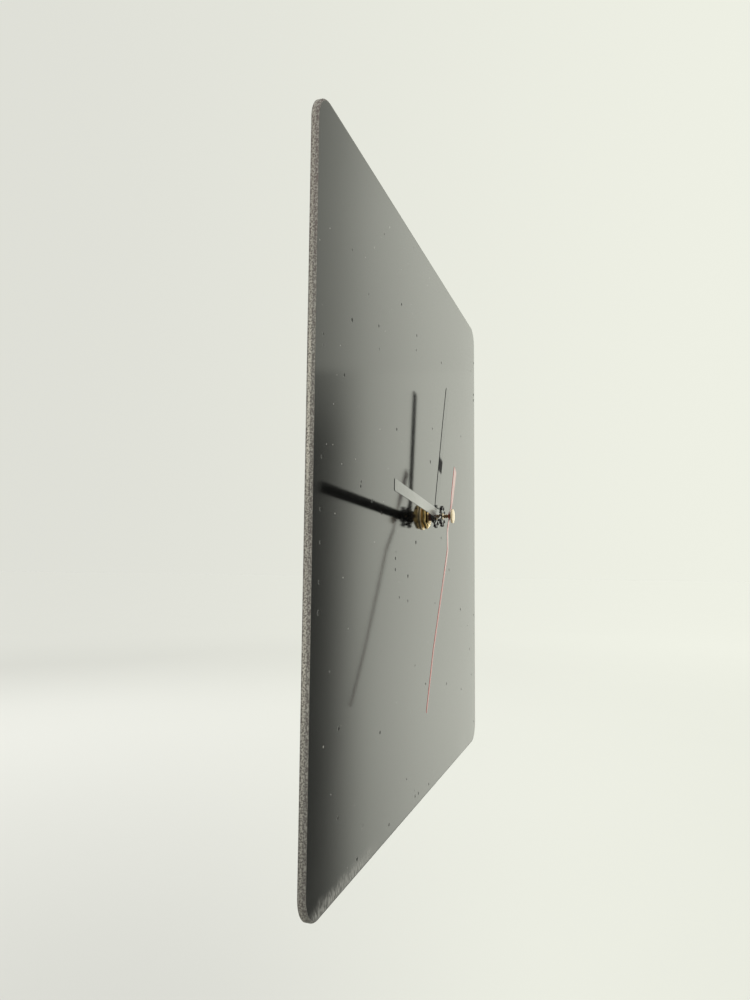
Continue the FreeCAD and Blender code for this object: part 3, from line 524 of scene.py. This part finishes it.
NUT_THICK = 2.8
NUT_TOP = WASHER_TOP + NUT_THICK
NUT_FLATS = 11.6
NUT_CORNER = NUT_FLATS / math.sqrt(3)
deselect()
bpy.ops.mesh.primitive_cylinder_add(vertices=6, radius=NUT_CORNER * MM, depth=NUT_THICK * MM,
                                    location=(0, -(WASHER_TOP + NUT_THICK / 2) * MM, 0),
                                    rotation=(math.pi / 2, 0, 0))
nut = bpy.context.object
nut.name = "fixing_nut"
set_place()
cone = turned("nut_cone", [(5.5, WASHER_TOP - 0.01), (6.75, WASHER_TOP + 0.62),
                           (6.75, NUT_TOP - 0.72), (5.3, NUT_TOP + 0.01)])
tidy_mesh()
cut_away(nut, cone, "INTERSECT")
tap = turned("nut_tap", [(4.6, WASHER_TOP - 0.5), (4.02, WASHER_TOP + 0.45), (4.02, NUT_TOP - 0.5),
                         (4.9, NUT_TOP + 0.5)])
tidy_mesh()
cut_away(nut, tap)
finish_with(nut, "BEVEL", width=0.09 * MM, segments=2, limit_method="ANGLE",
            angle_limit=math.radians(28), use_clamp_overlap=True)
start_edit(nut)
tidy_mesh(32)
nut_brass = brass("bright_nut_brass", (0.83, 0.60, 0.27), 0.07, 1500.0, turning=False)
nut.data.materials.append(nut_brass)
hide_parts("hex_nut")
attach(nut, "movement")


# ---- Threaded bushing --------------------------------------------------------------
# A brass tube with a rolled thread and a flange, which is moulded into the case's face.
# The plate, its washers, the hanger and the nut are all threaded on it.

low, high_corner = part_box("threaded_bushing")
BUSHING_BACK = -high_corner.y / MM
BUSHING_END = -low.y / MM
BUSHING_BORE, FLANGE_RADIUS = 2.575, 5.5
THREAD_ROOT, THREAD_CREST, THREAD_PITCH = 3.62, 4.0, 0.75
CASE_FACE = 16.0
thread = [(BUSHING_BORE, BUSHING_BACK), (FLANGE_RADIUS, BUSHING_BACK),
          (FLANGE_RADIUS, BUSHING_BACK + 0.7), (THREAD_ROOT, BUSHING_BACK + 0.7),
          (THREAD_ROOT, CASE_FACE + 0.2)]
crest = CASE_FACE + 0.45
while crest + THREAD_PITCH < BUSHING_END - 0.1:
    thread += [(THREAD_CREST, crest), (THREAD_CREST, crest + 0.1), (THREAD_ROOT, crest + 0.42),
               (THREAD_ROOT, crest + 0.5)]
    crest += THREAD_PITCH
thread += [(3.95, BUSHING_END - 0.35), (3.7, BUSHING_END), (2.75, BUSHING_END),
           (BUSHING_BORE, BUSHING_END - 0.15), (BUSHING_BORE, BUSHING_BACK)]
bushing = turned("bushing_thread", thread, sides=72)
tidy_mesh(25)
bushing.data.materials.append(brass("bushing_brass", (0.78, 0.58, 0.30), 0.22, 4000.0))
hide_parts("threaded_bushing")
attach(bushing, "movement")


# ---- Rubber washer and hanger ------------------------------------------------------
# A die-cut rubber ring keeps the glass off the hanger, which is a strap of pressed steel,
# zinc plated, with a keyhole at its top for one wall screw.

def worked_copy(node, name, bevel=0.0, angle=35.0):
    """A copy of a designed part with its seams closed and its edges slightly rounded."""
    copy = bpy.data.objects.new(name, frame["nodes"][node].data.copy())
    bpy.context.scene.collection.objects.link(copy)
    copy.data.materials.clear()
    start_edit(copy)
    bpy.ops.mesh.remove_doubles(threshold=SEAM)
    bpy.ops.mesh.dissolve_limited(angle_limit=math.radians(0.6))
    bpy.ops.object.mode_set(mode="OBJECT")
    if bevel:
        finish_with(copy, "BEVEL", width=bevel * MM, segments=2, limit_method="ANGLE",
                    angle_limit=math.radians(40), use_clamp_overlap=False)
    soften(copy, angle)
    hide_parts(node)
    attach(copy, frame["nodes"][node]["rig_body"])
    return copy


RUBBER_BACK = CASE_FACE + 0.8
RUBBER_FACE = RUBBER_BACK + 1.0
ring = turned("cushion_washer", [(4.15, RUBBER_BACK), (10.8, RUBBER_BACK),
                                 (11.0, RUBBER_BACK + 0.2), (11.0, RUBBER_FACE - 0.2),
                                 (10.8, RUBBER_FACE), (4.15, RUBBER_FACE), (4.15, RUBBER_BACK)])
tidy_mesh()
rubber = Finish("black_rubber", {"IOR": 1.5, "Specular IOR Level": 0.3})
chalk = rubber.noise(900.0, 4.0)
rubber.vary(Base_Color=rubber.mix(rubber.grade(chalk, 0.45, 0.8), (0.018, 0.018, 0.018, 1),
                                  (0.06, 0.06, 0.058, 1)),
            Roughness=0.72 + chalk * 0.2, Normal=rubber.raised(chalk, 0.00005, 0.6))
ring.data.materials.append(rubber.material)
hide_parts("rubber_washer")
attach(ring, "movement")

hanger = worked_copy("hanger_plate", "wall_hanger", 0.12)
zinc = Finish("zinc_plated_steel", {"Metallic": 1.0})
spangle = zinc.node("ShaderNodeTexVoronoi", {}, {"Vector": zinc.place, "Scale": 520.0}, "Color")
patches = zinc.split(spangle)[0]
rolled = zinc.noise(2200.0, 2.0, (0.06, 1.0, 1.0))
zinc.vary(Base_Color=zinc.mix(patches * 0.6 + rolled * 0.3, (0.50, 0.50, 0.49, 1),
                              (0.72, 0.72, 0.70, 1)),
          Roughness=0.26 + patches * 0.12 + rolled * 0.12, Normal=zinc.raised(rolled, 0.00002, 0.5))
hanger.data.materials.append(zinc.material)


# ---- Movement case -----------------------------------------------------------------
# Two injection mouldings in black ABS: a tray with the battery bay, and a lid behind the
# train that snaps in on four latches. Both have a fine spark-eroded grain.

moulded = Finish("black_case_plastic", {"IOR": 1.53})
grain = moulded.noise(3600.0, 2.0)
flow = moulded.noise(55.0, 3.0)
moulded.vary(Base_Color=moulded.mix(flow, (0.024, 0.024, 0.025, 1), (0.040, 0.040, 0.042, 1)),
             Roughness=0.40 + grain * 0.16 + flow * 0.06,
             Normal=moulded.raised(grain, 0.00005, 0.55))


def case_half(node, name):
    """One of the two mouldings, in their common plastic."""
    half = worked_copy(node, name, 0.12)
    half.data.materials.append(moulded.material)
    return half


case_half("case_front", "case_tray")
lid = case_half("case_back", "case_lid")
MARK_DEPTH = 0.6


def engraved(corners):
    """Sinks a flat mark, given by its (across, up) corners in order, into the lid's back."""
    deselect()
    bpy.ops.mesh.primitive_circle_add(vertices=len(corners), radius=MM,
                                      rotation=(math.pi / 2, 0, 0))
    stamp = bpy.context.object
    set_place()
    for vertex, (across, up) in zip(stamp.data.vertices, corners):
        vertex.co = (across * MM, MM, up * MM)
    start_edit(stamp)
    bpy.ops.mesh.edge_face_add()
    bpy.ops.mesh.extrude_region_move(
        TRANSFORM_OT_translate={"value": (0, -(1 + MARK_DEPTH) * MM, 0)})
    tidy_mesh()
    cut_away(lid, stamp)


low, high_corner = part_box("setting_knob")
KNOB_ACROSS = (low.x + high_corner.x) / 2 / MM
KNOB_UP = (low.z + high_corner.z) / 2 / MM


def round_knob(radius, bearing):
    """A point on a circle round the knob, as (across, up)."""
    angle = math.radians(bearing)
    return (KNOB_ACROSS + radius * math.cos(angle), KNOB_UP + radius * math.sin(angle))


# Two arrows run round the knob: radii are in millimetres, and spans and starts in degrees.
ARC_INNER, ARC_OUTER, ARC_SPAN, ARC_STEP = 7.7, 8.8, 110, 5
HEAD_INNER, HEAD_TIP, HEAD_OUTER, HEAD_SPAN = 7.0, 8.25, 9.5, 18
for start in (25, 205):
    end = start + ARC_SPAN
    inner = [round_knob(ARC_INNER, bearing) for bearing in range(start, end + 1, ARC_STEP)]
    head = [round_knob(HEAD_INNER, end), round_knob(HEAD_TIP, end + HEAD_SPAN),
            round_knob(HEAD_OUTER, end)]
    outer = [round_knob(ARC_OUTER, bearing) for bearing in range(end, start - 1, -ARC_STEP)]
    engraved(inner + head + outer)

# A plus and a minus mark the battery's ends. Their arms and strokes are given by halves.
LID_LOW, LID_HIGH = (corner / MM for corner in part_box("case_back"))
SIGN_IN, SIGN_UP = 5.2, LID_LOW.z + 4.0
ARM, STROKE = 2.2, 0.45
MINUS = [(-ARM, -STROKE), (ARM, -STROKE), (ARM, STROKE), (-ARM, STROKE)]
PLUS = [(-ARM, -STROKE), (-STROKE, -STROKE), (-STROKE, -ARM), (STROKE, -ARM),
        (STROKE, -STROKE), (ARM, -STROKE), (ARM, STROKE), (STROKE, STROKE), (STROKE, ARM),
        (-STROKE, ARM), (-STROKE, STROKE), (-ARM, STROKE)]
for sign, middle in ((MINUS, LID_LOW.x + SIGN_IN), (PLUS, LID_HIGH.x - SIGN_IN)):
    engraved([(middle + across, SIGN_UP + up) for across, up in sign])
soften(lid, 35)


# ---- Hour wheel, minute pipe and clutch --------------------------------------------
# The hour wheel and its tube are one dark moulding. The minute pipe is turned brass with
# a pinion, and a bronze spring washer lets it slip in the centre gear when the hands are set.

hour_tube = worked_copy("hour_wheel", "hour_tube")
dark = Finish("brown_black_plastic", {"IOR": 1.53})
draw = dark.noise(1500.0, 2.0, (1.0, 0.15, 1.0))
dark.vary(Base_Color=dark.mix(draw, (0.045, 0.016, 0.012, 1), (0.085, 0.030, 0.022, 1)),
          Roughness=0.25 + draw * 0.15, Normal=dark.raised(draw, 0.00002, 0.4))
hour_tube.data.materials.append(dark.material)

pipe = worked_copy("minute_pipe", "minute_tube")
pipe.data.materials.append(brass("turned_pipe_brass", (0.76, 0.58, 0.32), 0.2, 6000.0))

spring_bronze = brass("spring_bronze", (0.66, 0.42, 0.21), 0.26, 3000.0, turning=False)


def dress_nodes(material, *nodes):
    """Puts a finish on designed parts that are right as they are."""
    for node in nodes:
        for slot in frame["nodes"][node].material_slots:
            slot.material = material


dress_nodes(spring_bronze, "clutch_spring")


# ---- Train wheels and arbors -------------------------------------------------------
# Wheels and pinions are moulded in natural white acetal and pressed on polished steel
# arbors. The bearing plate that they run in is a stiffer off-white moulding.

def light_plastic(name, tone, rough):
    """Pale moulded plastic, slightly translucent, with faint flow marks and dust."""
    body = Finish(name, {"IOR": 1.48, "Subsurface Weight": 0.15, "Subsurface Scale": 0.001})
    cloud = body.noise(160.0, 3.0)
    shade = tuple(part * 0.86 for part in tone)
    body.vary(Base_Color=body.mix(cloud, (*tone, 1), (*shade, 1)), Roughness=rough + cloud * 0.15,
              Normal=body.raised(body.noise(1800.0), 0.00002, 0.4))
    return body.material


acetal = light_plastic("white_acetal", (0.86, 0.85, 0.80), 0.26)
dress_nodes(acetal, "motion_wheel", "centre_gear", "seconds_wheel", "third_wheel",
            "intermediate_wheel", "rotor_pinion")
dress_nodes(light_plastic("plate_plastic", (0.80, 0.79, 0.74), 0.42), "middle_plate")


def steel(name, tone, rough, grain_scale, stretch):
    """Rolled or polished steel with its grain along one direction."""
    metal = Finish(name, {"Metallic": 1.0})
    lines = metal.noise(grain_scale, 3.0, stretch)
    stain = metal.noise(130.0, 3.0)
    shade = tuple(part * 0.72 for part in tone)
    metal.vary(Base_Color=metal.mix(lines * 0.5 + stain * 0.4, (*tone, 1), (*shade, 1)),
               Roughness=rough + lines * 0.12 + stain * 0.06,
               Normal=metal.raised(lines, 0.00002, 0.5))
    return metal.material


dress_nodes(steel("arbor_steel", (0.68, 0.68, 0.67), 0.12, 5000.0, (1.0, 0.1, 1.0)),
            "seconds_arbor", "third_arbor", "intermediate_arbor", "rotor_arbor")


# ---- Stepping motor ----------------------------------------------------------------
# A ferrite rotor turns in a yoke of soft iron, driven by a coil of enamelled copper wire
# on a moulded bobbin, whose core is riveted to the yoke's two arms.

ferrite = Finish("ground_ferrite", {"IOR": 2.0})
ferrite_grain = ferrite.noise(1900.0, 4.0)
ferrite.vary(Base_Color=ferrite.mix(ferrite_grain, (0.05, 0.05, 0.055, 1), (0.12, 0.12, 0.125, 1)),
             Roughness=0.38 + ferrite_grain * 0.2,
             Normal=ferrite.raised(ferrite_grain, 0.00003, 0.5))
dress_nodes(ferrite.material, "rotor_magnet")
dress_nodes(steel("soft_iron", (0.48, 0.49, 0.50), 0.3, 1400.0, (0.1, 1.0, 1.0)),
            "stator_plate", "coil_core")
dress_nodes(light_plastic("bobbin_plastic", (0.74, 0.73, 0.68), 0.38), "coil_bobbin")
wound = Finish("enamelled_copper", {"Metallic": 0.75, "Coat Weight": 0.5, "Coat Roughness": 0.12})
WIRE_PITCH = 0.16
# Each turn of wire is painted bright on its crown and dark in the groove beside it: painted shade,
# mixed with uneven random tone.
wire_crowns_and_groove_shade = wound.maths("SINE", wound.z * (2 * math.pi / (WIRE_PITCH * MM))) * 0.5 + 0.5
uneven = wound.noise(300.0, 3.0)
wound.vary(Base_Color=wound.mix(wire_crowns_and_groove_shade * 0.6 + uneven * 0.4, (0.24, 0.07, 0.025, 1),
                                (0.74, 0.30, 0.11, 1)),
           Roughness=0.22 + uneven * 0.16, Normal=wound.raised(wire_crowns_and_groove_shade, 0.00006, 0.7))
dress_nodes(wound.material, "coil_winding")


# ---- Circuit -----------------------------------------------------------------------
# The board is brown paper laminate with its copper tracks under lacquer. The chip sits
# under a drop of black resin, and the crystal is in a plated can.

laminate = Finish("paper_laminate", {"IOR": 1.5})
fibres = laminate.noise(800.0, 4.0, (1.0, 1.0, 0.3))
TRACK_PITCH = 3.2
stripe = laminate.maths("FRACT", laminate.z * (1 / (TRACK_PITCH * MM))
                        + laminate.noise(90.0, 1.0) * 0.6)
track = (stripe < 0.24) * (laminate.grade(laminate.noise(120.0, 1.0), 0.42, 0.46))
board_tone = laminate.mix(fibres, (0.30, 0.19, 0.075, 1), (0.42, 0.28, 0.12, 1))
laminate.vary(Base_Color=laminate.mix(track, board_tone, (0.46, 0.22, 0.09, 1)),
              Roughness=0.5 + fibres * 0.15 - track * 0.2,
              Normal=laminate.raised(track + fibres * 0.2, 0.00005, 0.6))
dress_nodes(laminate.material, "circuit_board")
resin = Finish("black_resin", {"IOR": 1.55})
ripple = resin.noise(260.0, 2.0)
resin.vary(Base_Color=resin.mix(ripple, (0.010, 0.010, 0.011, 1), (0.022, 0.022, 0.024, 1)),
           Roughness=0.22 + ripple * 0.14, Normal=resin.raised(ripple, 0.0002, 0.4))
dress_nodes(resin.material, "chip_cap")
dress_nodes(steel("crystal_can", (0.74, 0.74, 0.73), 0.16, 2600.0, (1.0, 1.0, 0.12)),
            "quartz_crystal")


# ---- Battery and contacts ----------------------------------------------------------
# One round cell in a plain printed film, with nickel-plated ends, lies in the bay between
# two sprung strips of nickel-plated steel.

CELL_STATION = 7.65
CELL_UP = -18.9
CELL_LEFT, CELL_RIGHT = -25.2, 23.8


def along_x(name, profile, sides=72):
    """As turned(), but on the battery's axis: (radius, distance to the right) pairs."""
    piece = turned(name, [(radius, -reach) for radius, reach in profile], sides=sides)
    tidy_mesh(30)
    take_up(piece)
    piece.rotation_euler = (0, 0, math.pi / 2)
    set_place()
    piece.location = (0, -CELL_STATION * MM, CELL_UP * MM)
    set_place()
    return piece


cell = along_x("battery_wrap", [(5.2, CELL_LEFT), (6.75, CELL_LEFT + 0.02), (7.0, CELL_LEFT + 0.12),
                                (7.1, CELL_LEFT + 0.35), (7.1, CELL_RIGHT - 1.3),
                                (7.0, CELL_RIGHT - 1.0), (6.6, CELL_RIGHT - 0.8),
                                (6.1, CELL_RIGHT - 0.7), (5.9, CELL_RIGHT - 0.2),
                                (5.4, CELL_RIGHT)])
wrap = Finish("plain_battery_film", {"IOR": 1.5, "Coat Weight": 0.4, "Coat Roughness": 0.15})
band = wrap.grade(wrap.x, 0.0120, 0.0122) * wrap.grade(wrap.x, 0.0172, 0.0170)
fine = wrap.grade(wrap.x, 0.0180, 0.0181) * wrap.grade(wrap.x, 0.0186, 0.0185)
ends = 1 - wrap.grade(wrap.x, -0.0246, -0.0244) * wrap.grade(wrap.x, 0.0226, 0.0224)
scuffed = wrap.noise(300.0, 4.0)
film = wrap.mix(band + fine, wrap.mix(scuffed, (0.045, 0.055, 0.075, 1), (0.065, 0.078, 0.10, 1)),
                (0.52, 0.53, 0.52, 1))
wrap.vary(Base_Color=wrap.mix(ends, film, (0.62, 0.62, 0.60, 1)), Metallic=ends * 0.95,
          Roughness=0.28 + scuffed * 0.14, Normal=wrap.raised(scuffed, 0.00003, 0.3))
cell.data.materials.append(wrap.material)
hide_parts("battery_sleeve")
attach(cell, "battery")

nickel = steel("nickel_plate", (0.76, 0.75, 0.72), 0.14, 1800.0, (1.0, 0.2, 1.0))
button = along_x("battery_button", [(2.75, CELL_RIGHT), (2.75, CELL_RIGHT + 0.9),
                                    (2.6, CELL_RIGHT + 1.18), (2.3, CELL_RIGHT + 1.3),
                                    (1.2, CELL_RIGHT + 1.28)])
button.data.materials.append(nickel)
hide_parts("battery_cap")
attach(button, "battery")
dress_nodes(nickel, "battery_base", "battery_contact_positive", "battery_contact_negative")


# ---- Setting knob ------------------------------------------------------------------
# A small moulded knob, fluted for a fingertip, sits in a round recess in the lid. Its
# shaft carries the gear that turns the hands.

knob = worked_copy("setting_knob", "setting_wheel", 0.08)
knob_plastic = Finish("knob_plastic", {"IOR": 1.53})
knob_grain = knob_plastic.noise(2600.0, 2.0)
knob_plastic.vary(Base_Color=knob_plastic.mix(knob_plastic.noise(90.0), (0.040, 0.040, 0.042, 1),
                                              (0.062, 0.062, 0.065, 1)),
                  Roughness=0.36 + knob_grain * 0.18,
                  Normal=knob_plastic.raised(knob_grain, 0.00004, 0.5))
knob.data.materials.append(knob_plastic.material)


# ---- Hands -------------------------------------------------------------------------
# Stamped aluminium strip. The hour and minute hands are black gloss lacquer on hubs whose
# collars are crimped over in folds; the seconds needle is red and stepped outwards.

STRIP_THICKNESS, STRIP_BEVEL = 0.4, 0.07


def blade(name, line, plan, thickness=STRIP_THICKNESS, bevel=STRIP_BEVEL):
    """A stamped strip along the up direction.

    line gives its back face as (reach, station) pairs, and plan gives (reach, half width).
    """
    def between(pairs, reach):
        """The second number at a reach, on the straight lines between pairs."""
        for (near, first), (far, last) in zip(pairs, pairs[1:]):
            if near <= reach <= far:
                return first + (last - first) * (reach - near) / (far - near)
        return pairs[-1][1] if reach > pairs[-1][0] else pairs[0][1]

    reaches = sorted({reach for reach, _ in plan} | {reach for reach, _ in line
                                                     if plan[0][0] < reach < plan[-1][0]})
    first, second = reaches[0], reaches[1]
    piece = block(name, (-between(plan, first), -between(line, first) - thickness, first - 0.02),
                  (between(plan, first), -between(line, first), first))
    width, station, reach = between(plan, first), between(line, first), first
    for next_reach in reaches[1:]:
        pick("faces", lambda face: face.normal.z > 0.5
             and face.calc_center_median().z > reach * MM - HAIR)
        next_width, next_station = between(plan, next_reach), between(line, next_reach)
        bpy.ops.mesh.extrude_region_move(TRANSFORM_OT_translate={
            "value": (0, (station - next_station) * MM, (next_reach - reach) * MM)})
        bpy.ops.transform.resize(value=(next_width / width, 1, 1), center_override=(0, 0, 0))
        width, station, reach = next_width, next_station, next_reach
    tidy_mesh(20)
    finish_with(piece, "BEVEL", width=bevel * MM, segments=2, limit_method="ANGLE",
                angle_limit=math.radians(50))
    return piece


def joined(name, first, *others):
    """Makes one piece of several meshes."""
    deselect()
    for part in (first, *others):
        part.select_set(True)
    bpy.context.view_layer.objects.active = first
    bpy.ops.object.join()
    first.name = name
    return first


def swing(piece, bearing):
    """Turns a piece clockwise about the shaft, as seen from the front."""
    take_up(piece)
    piece.rotation_euler = (0, math.radians(bearing), 0)
    set_place()


PLEATS, FOLD_DEPTH, FOLD_WIDTH = 12, 0.42, 1.0


def crimped_hub(name, bore, station, collar_back, rim):
    """A hub disc with a pleated rim, on a collar that grips the tube."""
    hub = turned(name, [(bore, collar_back), (bore + 0.75, collar_back),
                        (bore + 0.95, collar_back + 0.3), (bore + 0.8, station - 0.1),
                        (0.6 * rim, station - 0.05), (rim - 0.8, station), (rim - 0.08, station),
                        (rim, station + 0.1), (rim, station + 0.3), (rim - 0.1, station + 0.4),
                        (rim - 0.8, station + 0.4), (0.6 * rim, station + 0.42),
                        (bore + 0.7, station + 0.5), (bore + 0.35, station + 0.62),
                        (bore, station + 0.5), (bore, collar_back)], sides=72)
    for side in (1, -1):
        pick("verts", lambda v: math.hypot(v.co.x, v.co.z) > (rim - FOLD_WIDTH) * MM
             and side * math.cos(math.atan2(v.co.z, v.co.x) * PLEATS) > 0.5)
        bpy.ops.transform.translate(value=(0, -side * FOLD_DEPTH * MM, 0))
    tidy_mesh(14)
    return hub


def gloss_lacquer(name, rubbed=0.0, bearing=0.0):
    """Black lacquer with a slight peel, a few chips, and a spot that rubbing has dulled."""
    coat = Finish(name, {"IOR": 1.5})
    peel = coat.noise(520.0, 2.0)
    chips = coat.specks(700.0, 0.00022, 0.05)
    tone = coat.mix(peel, (0.008, 0.008, 0.009, 1), (0.018, 0.018, 0.019, 1))
    reach = coat.x * math.sin(math.radians(bearing)) + coat.z * math.cos(math.radians(bearing))
    dull = coat.grade(reach, 0.0245, 0.0275) * coat.grade(reach, 0.0345, 0.0315) * rubbed
    coat.vary(Base_Color=coat.mix(chips, tone, (0.42, 0.41, 0.39, 1)),
              Roughness=0.10 + peel * 0.08 + chips * 0.3 + dull * 0.7,
              Normal=coat.raised(peel, 0.00004, 0.2))
    return coat.material


lacquer = gloss_lacquer("black_gloss_lacquer")
bare_back = Finish("matt_hand_back", {"Specular IOR Level": 0.2})
rolled_back = bare_back.noise(700.0, 3.0, (1.0, 1.0, 0.2))
bare_back.vary(Base_Color=bare_back.mix(rolled_back, (0.003, 0.003, 0.003, 1),
                                        (0.008, 0.008, 0.008, 1)),
               Roughness=0.6 + rolled_back * 0.2)


def two_sided(piece, front):
    """Lacquers the front of a hand and leaves its back matt."""
    piece.data.materials.append(front)
    piece.data.materials.append(bare_back.material)
    for face in piece.data.polygons:
        face.material_index = 1 if face.normal.y > 0.9 else 0


HOUR_BEARING, HOUR_STATION = 14.0, 28.1
hour_line = [(3.2, HOUR_STATION), (8, HOUR_STATION), (76, HOUR_STATION + 2.2)]
hour_plan = [(3.2, 3.0), (5, 3.22), (30, 3.5), (55, 3.7), (74, 3.5), (75.3, 3.2), (75.8, 2.9),
             (76, 2.5)]
hour_strip = blade("hour_strip", hour_line, hour_plan)
hour_hub = crimped_hub("hour_hub", 2.52, HOUR_STATION, 26.4, 6.3)
hour_hand = joined("hour_baton", hour_strip, hour_hub)
swing(hour_hand, HOUR_BEARING)
two_sided(hour_hand, gloss_lacquer("hour_hand_lacquer", 1.0, HOUR_BEARING))
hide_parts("hour_hand")
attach(hour_hand, "hour_group")

MINUTE_BEARING, MINUTE_STATION = 273.3, 31.6
minute_line = [(2.6, MINUTE_STATION), (8, MINUTE_STATION), (104, MINUTE_STATION + 5)]
minute_plan = [(2.6, 2.4), (50, 2.5), (103.2, 2.5), (103.6, 2.42), (103.85, 2.25), (104, 1.9)]
minute_strip = blade("minute_strip", minute_line, minute_plan)
pips = [turned("pip", [(0.5, MINUTE_STATION + 0.3), (0.5, MINUTE_STATION + 0.5),
                       (0.35, MINUTE_STATION + 0.68), (0.1, MINUTE_STATION + 0.75)], 1.5, 6.0, 24),
        turned("pip", [(0.4, MINUTE_STATION + 0.3), (0.4, MINUTE_STATION + 0.5),
                       (0.28, MINUTE_STATION + 0.65), (0.1, MINUTE_STATION + 0.7)], 1.5, 3.4, 24)]
tidy_mesh()
minute_hub = crimped_hub("minute_hub", 1.72, MINUTE_STATION, 29.9, 5.7)
minute_hand = joined("minute_baton", minute_strip, minute_hub, *pips)
swing(minute_hand, MINUTE_BEARING)
two_sided(minute_hand, lacquer)
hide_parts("minute_hand")
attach(minute_hand, "minute_group")

SECOND_BEARING, SECOND_STATION = 213.0, 35.8
NEEDLE_THICKNESS, NEEDLE_BEVEL = 0.25, 0.05
needle_line = [(1.4, SECOND_STATION), (9, SECOND_STATION), (22, SECOND_STATION + 1.7),
               (80, SECOND_STATION + 2), (110, SECOND_STATION + 3.05)]
tail_line = [(1.4, SECOND_STATION), (8, SECOND_STATION), (33, SECOND_STATION - 0.9)]
needle_plan = [(1.4, 1.0), (9, 1.1), (12, 1.1), (18, 1.1), (22, 1.1), (55, 1.0), (108, 0.7),
               (110, 0.45)]
tail_plan = [(1.4, 0.95), (5, 1.2), (10, 1.9), (14, 2.4), (31.6, 2.88), (32.5, 2.8), (32.9, 2.6),
             (33, 2.35)]
needle = blade("needle", needle_line, needle_plan, NEEDLE_THICKNESS, NEEDLE_BEVEL)
tail = blade("tail", tail_line, tail_plan, NEEDLE_THICKNESS, NEEDLE_BEVEL)
swing(tail, 180)
second_hub = turned("second_hub", [(1.02, SECOND_STATION - 0.1), (2.2, SECOND_STATION - 0.1),
                                   (2.5, SECOND_STATION), (2.5, SECOND_STATION + 0.25),
                                   (2.2, SECOND_STATION + 0.35), (1.02, SECOND_STATION + 0.35),
                                   (1.02, SECOND_STATION - 0.1)], sides=48)
tidy_mesh()
second_hand = joined("red_needle", needle, tail, second_hub)
swing(second_hand, SECOND_BEARING)
red = Finish("red_lacquer", {"IOR": 1.5})
red_peel = red.noise(600.0, 2.0)
red_chips = red.specks(800.0, 0.0002, 0.05)
red_tone = red.mix(red_peel, (0.30, 0.055, 0.052, 1), (0.38, 0.075, 0.07, 1))
red.vary(Base_Color=red.mix(red_chips, red_tone, (0.5, 0.46, 0.44, 1)),
         Roughness=0.12 + red_peel * 0.10, Normal=red.raised(red_peel, 0.00003, 0.25))
second_hand.data.materials.append(red.material)
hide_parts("second_hand")
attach(second_hand, "second_group")


# ---- Seconds collet and cap --------------------------------------------------------
# The needle is riveted on a turned brass collet with two grooves, pushed on the seconds
# arbor. A pressed cap, cream in front, covers the rivet; its dark red underside is painted shade.

collet = turned("needle_collet", [(0.52, 32.8), (0.9, 32.8), (1.0, 32.95), (1.0, 33.5), (0.78, 33.62),
                                  (0.78, 33.9), (1.0, 34.02), (1.0, 34.6), (0.78, 34.72), (0.78, 35.0),
                                  (1.0, 35.12), (1.0, 37.1), (0.9, 37.2), (0.52, 37.2),
                                  (0.52, 32.8)], sides=48)
tidy_mesh(25)
# The collet's brass is painted much darker than the other brass: painted shade behind the cap.
collet.data.materials.append(brass("collet_brass_painted_shade", (0.42, 0.27, 0.13), 0.2, 7000.0))
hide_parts("second_hand_tube")
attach(collet, "second_group")

UNDERSIDE_END = 37.25
cap = turned("needle_cap", [(1.02, 37.15), (1.02, 37.0), (3.3, 37.0), (3.65, 37.05),
                            (3.78, 37.2), (3.8, 37.35), (3.8, 37.7), (3.75, 37.88), (3.6, 37.98),
                            (3.3, 38.02), (2.0, 38.07), (0.8, 38.1)], sides=72)
tidy_mesh(40)
cream = Finish("cream_gold_cap", {"Metallic": 0.55, "Coat Weight": 0.3, "Coat Roughness": 0.1})
cap_cloud = cream.noise(700.0, 3.0)
cream.vary(Base_Color=cream.mix(cap_cloud, (0.90, 0.76, 0.52, 1), (0.80, 0.62, 0.38, 1)),
           Roughness=0.24 + cap_cloud * 0.14, Normal=cream.raised(cap_cloud, 0.00002, 0.3))
# The underside's dark red is painted shade beneath the cap.
cap_underside_shade = Finish("cap_underside_painted_shade", {"IOR": 1.5})
under_cloud = cap_underside_shade.noise(900.0, 2.0)
cap_underside_shade.vary(Base_Color=cap_underside_shade.mix(under_cloud, (0.10, 0.020, 0.015, 1), (0.16, 0.035, 0.025, 1)),
             Roughness=0.3 + under_cloud * 0.15)
cap.data.materials.append(cream.material)
cap.data.materials.append(cap_underside_shade.material)
for face in cap.data.polygons:
    face.material_index = 1 if face.center.y > -UNDERSIDE_END * MM else 0
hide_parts("second_hand_cap")
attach(cap, "second_group")

deselect()
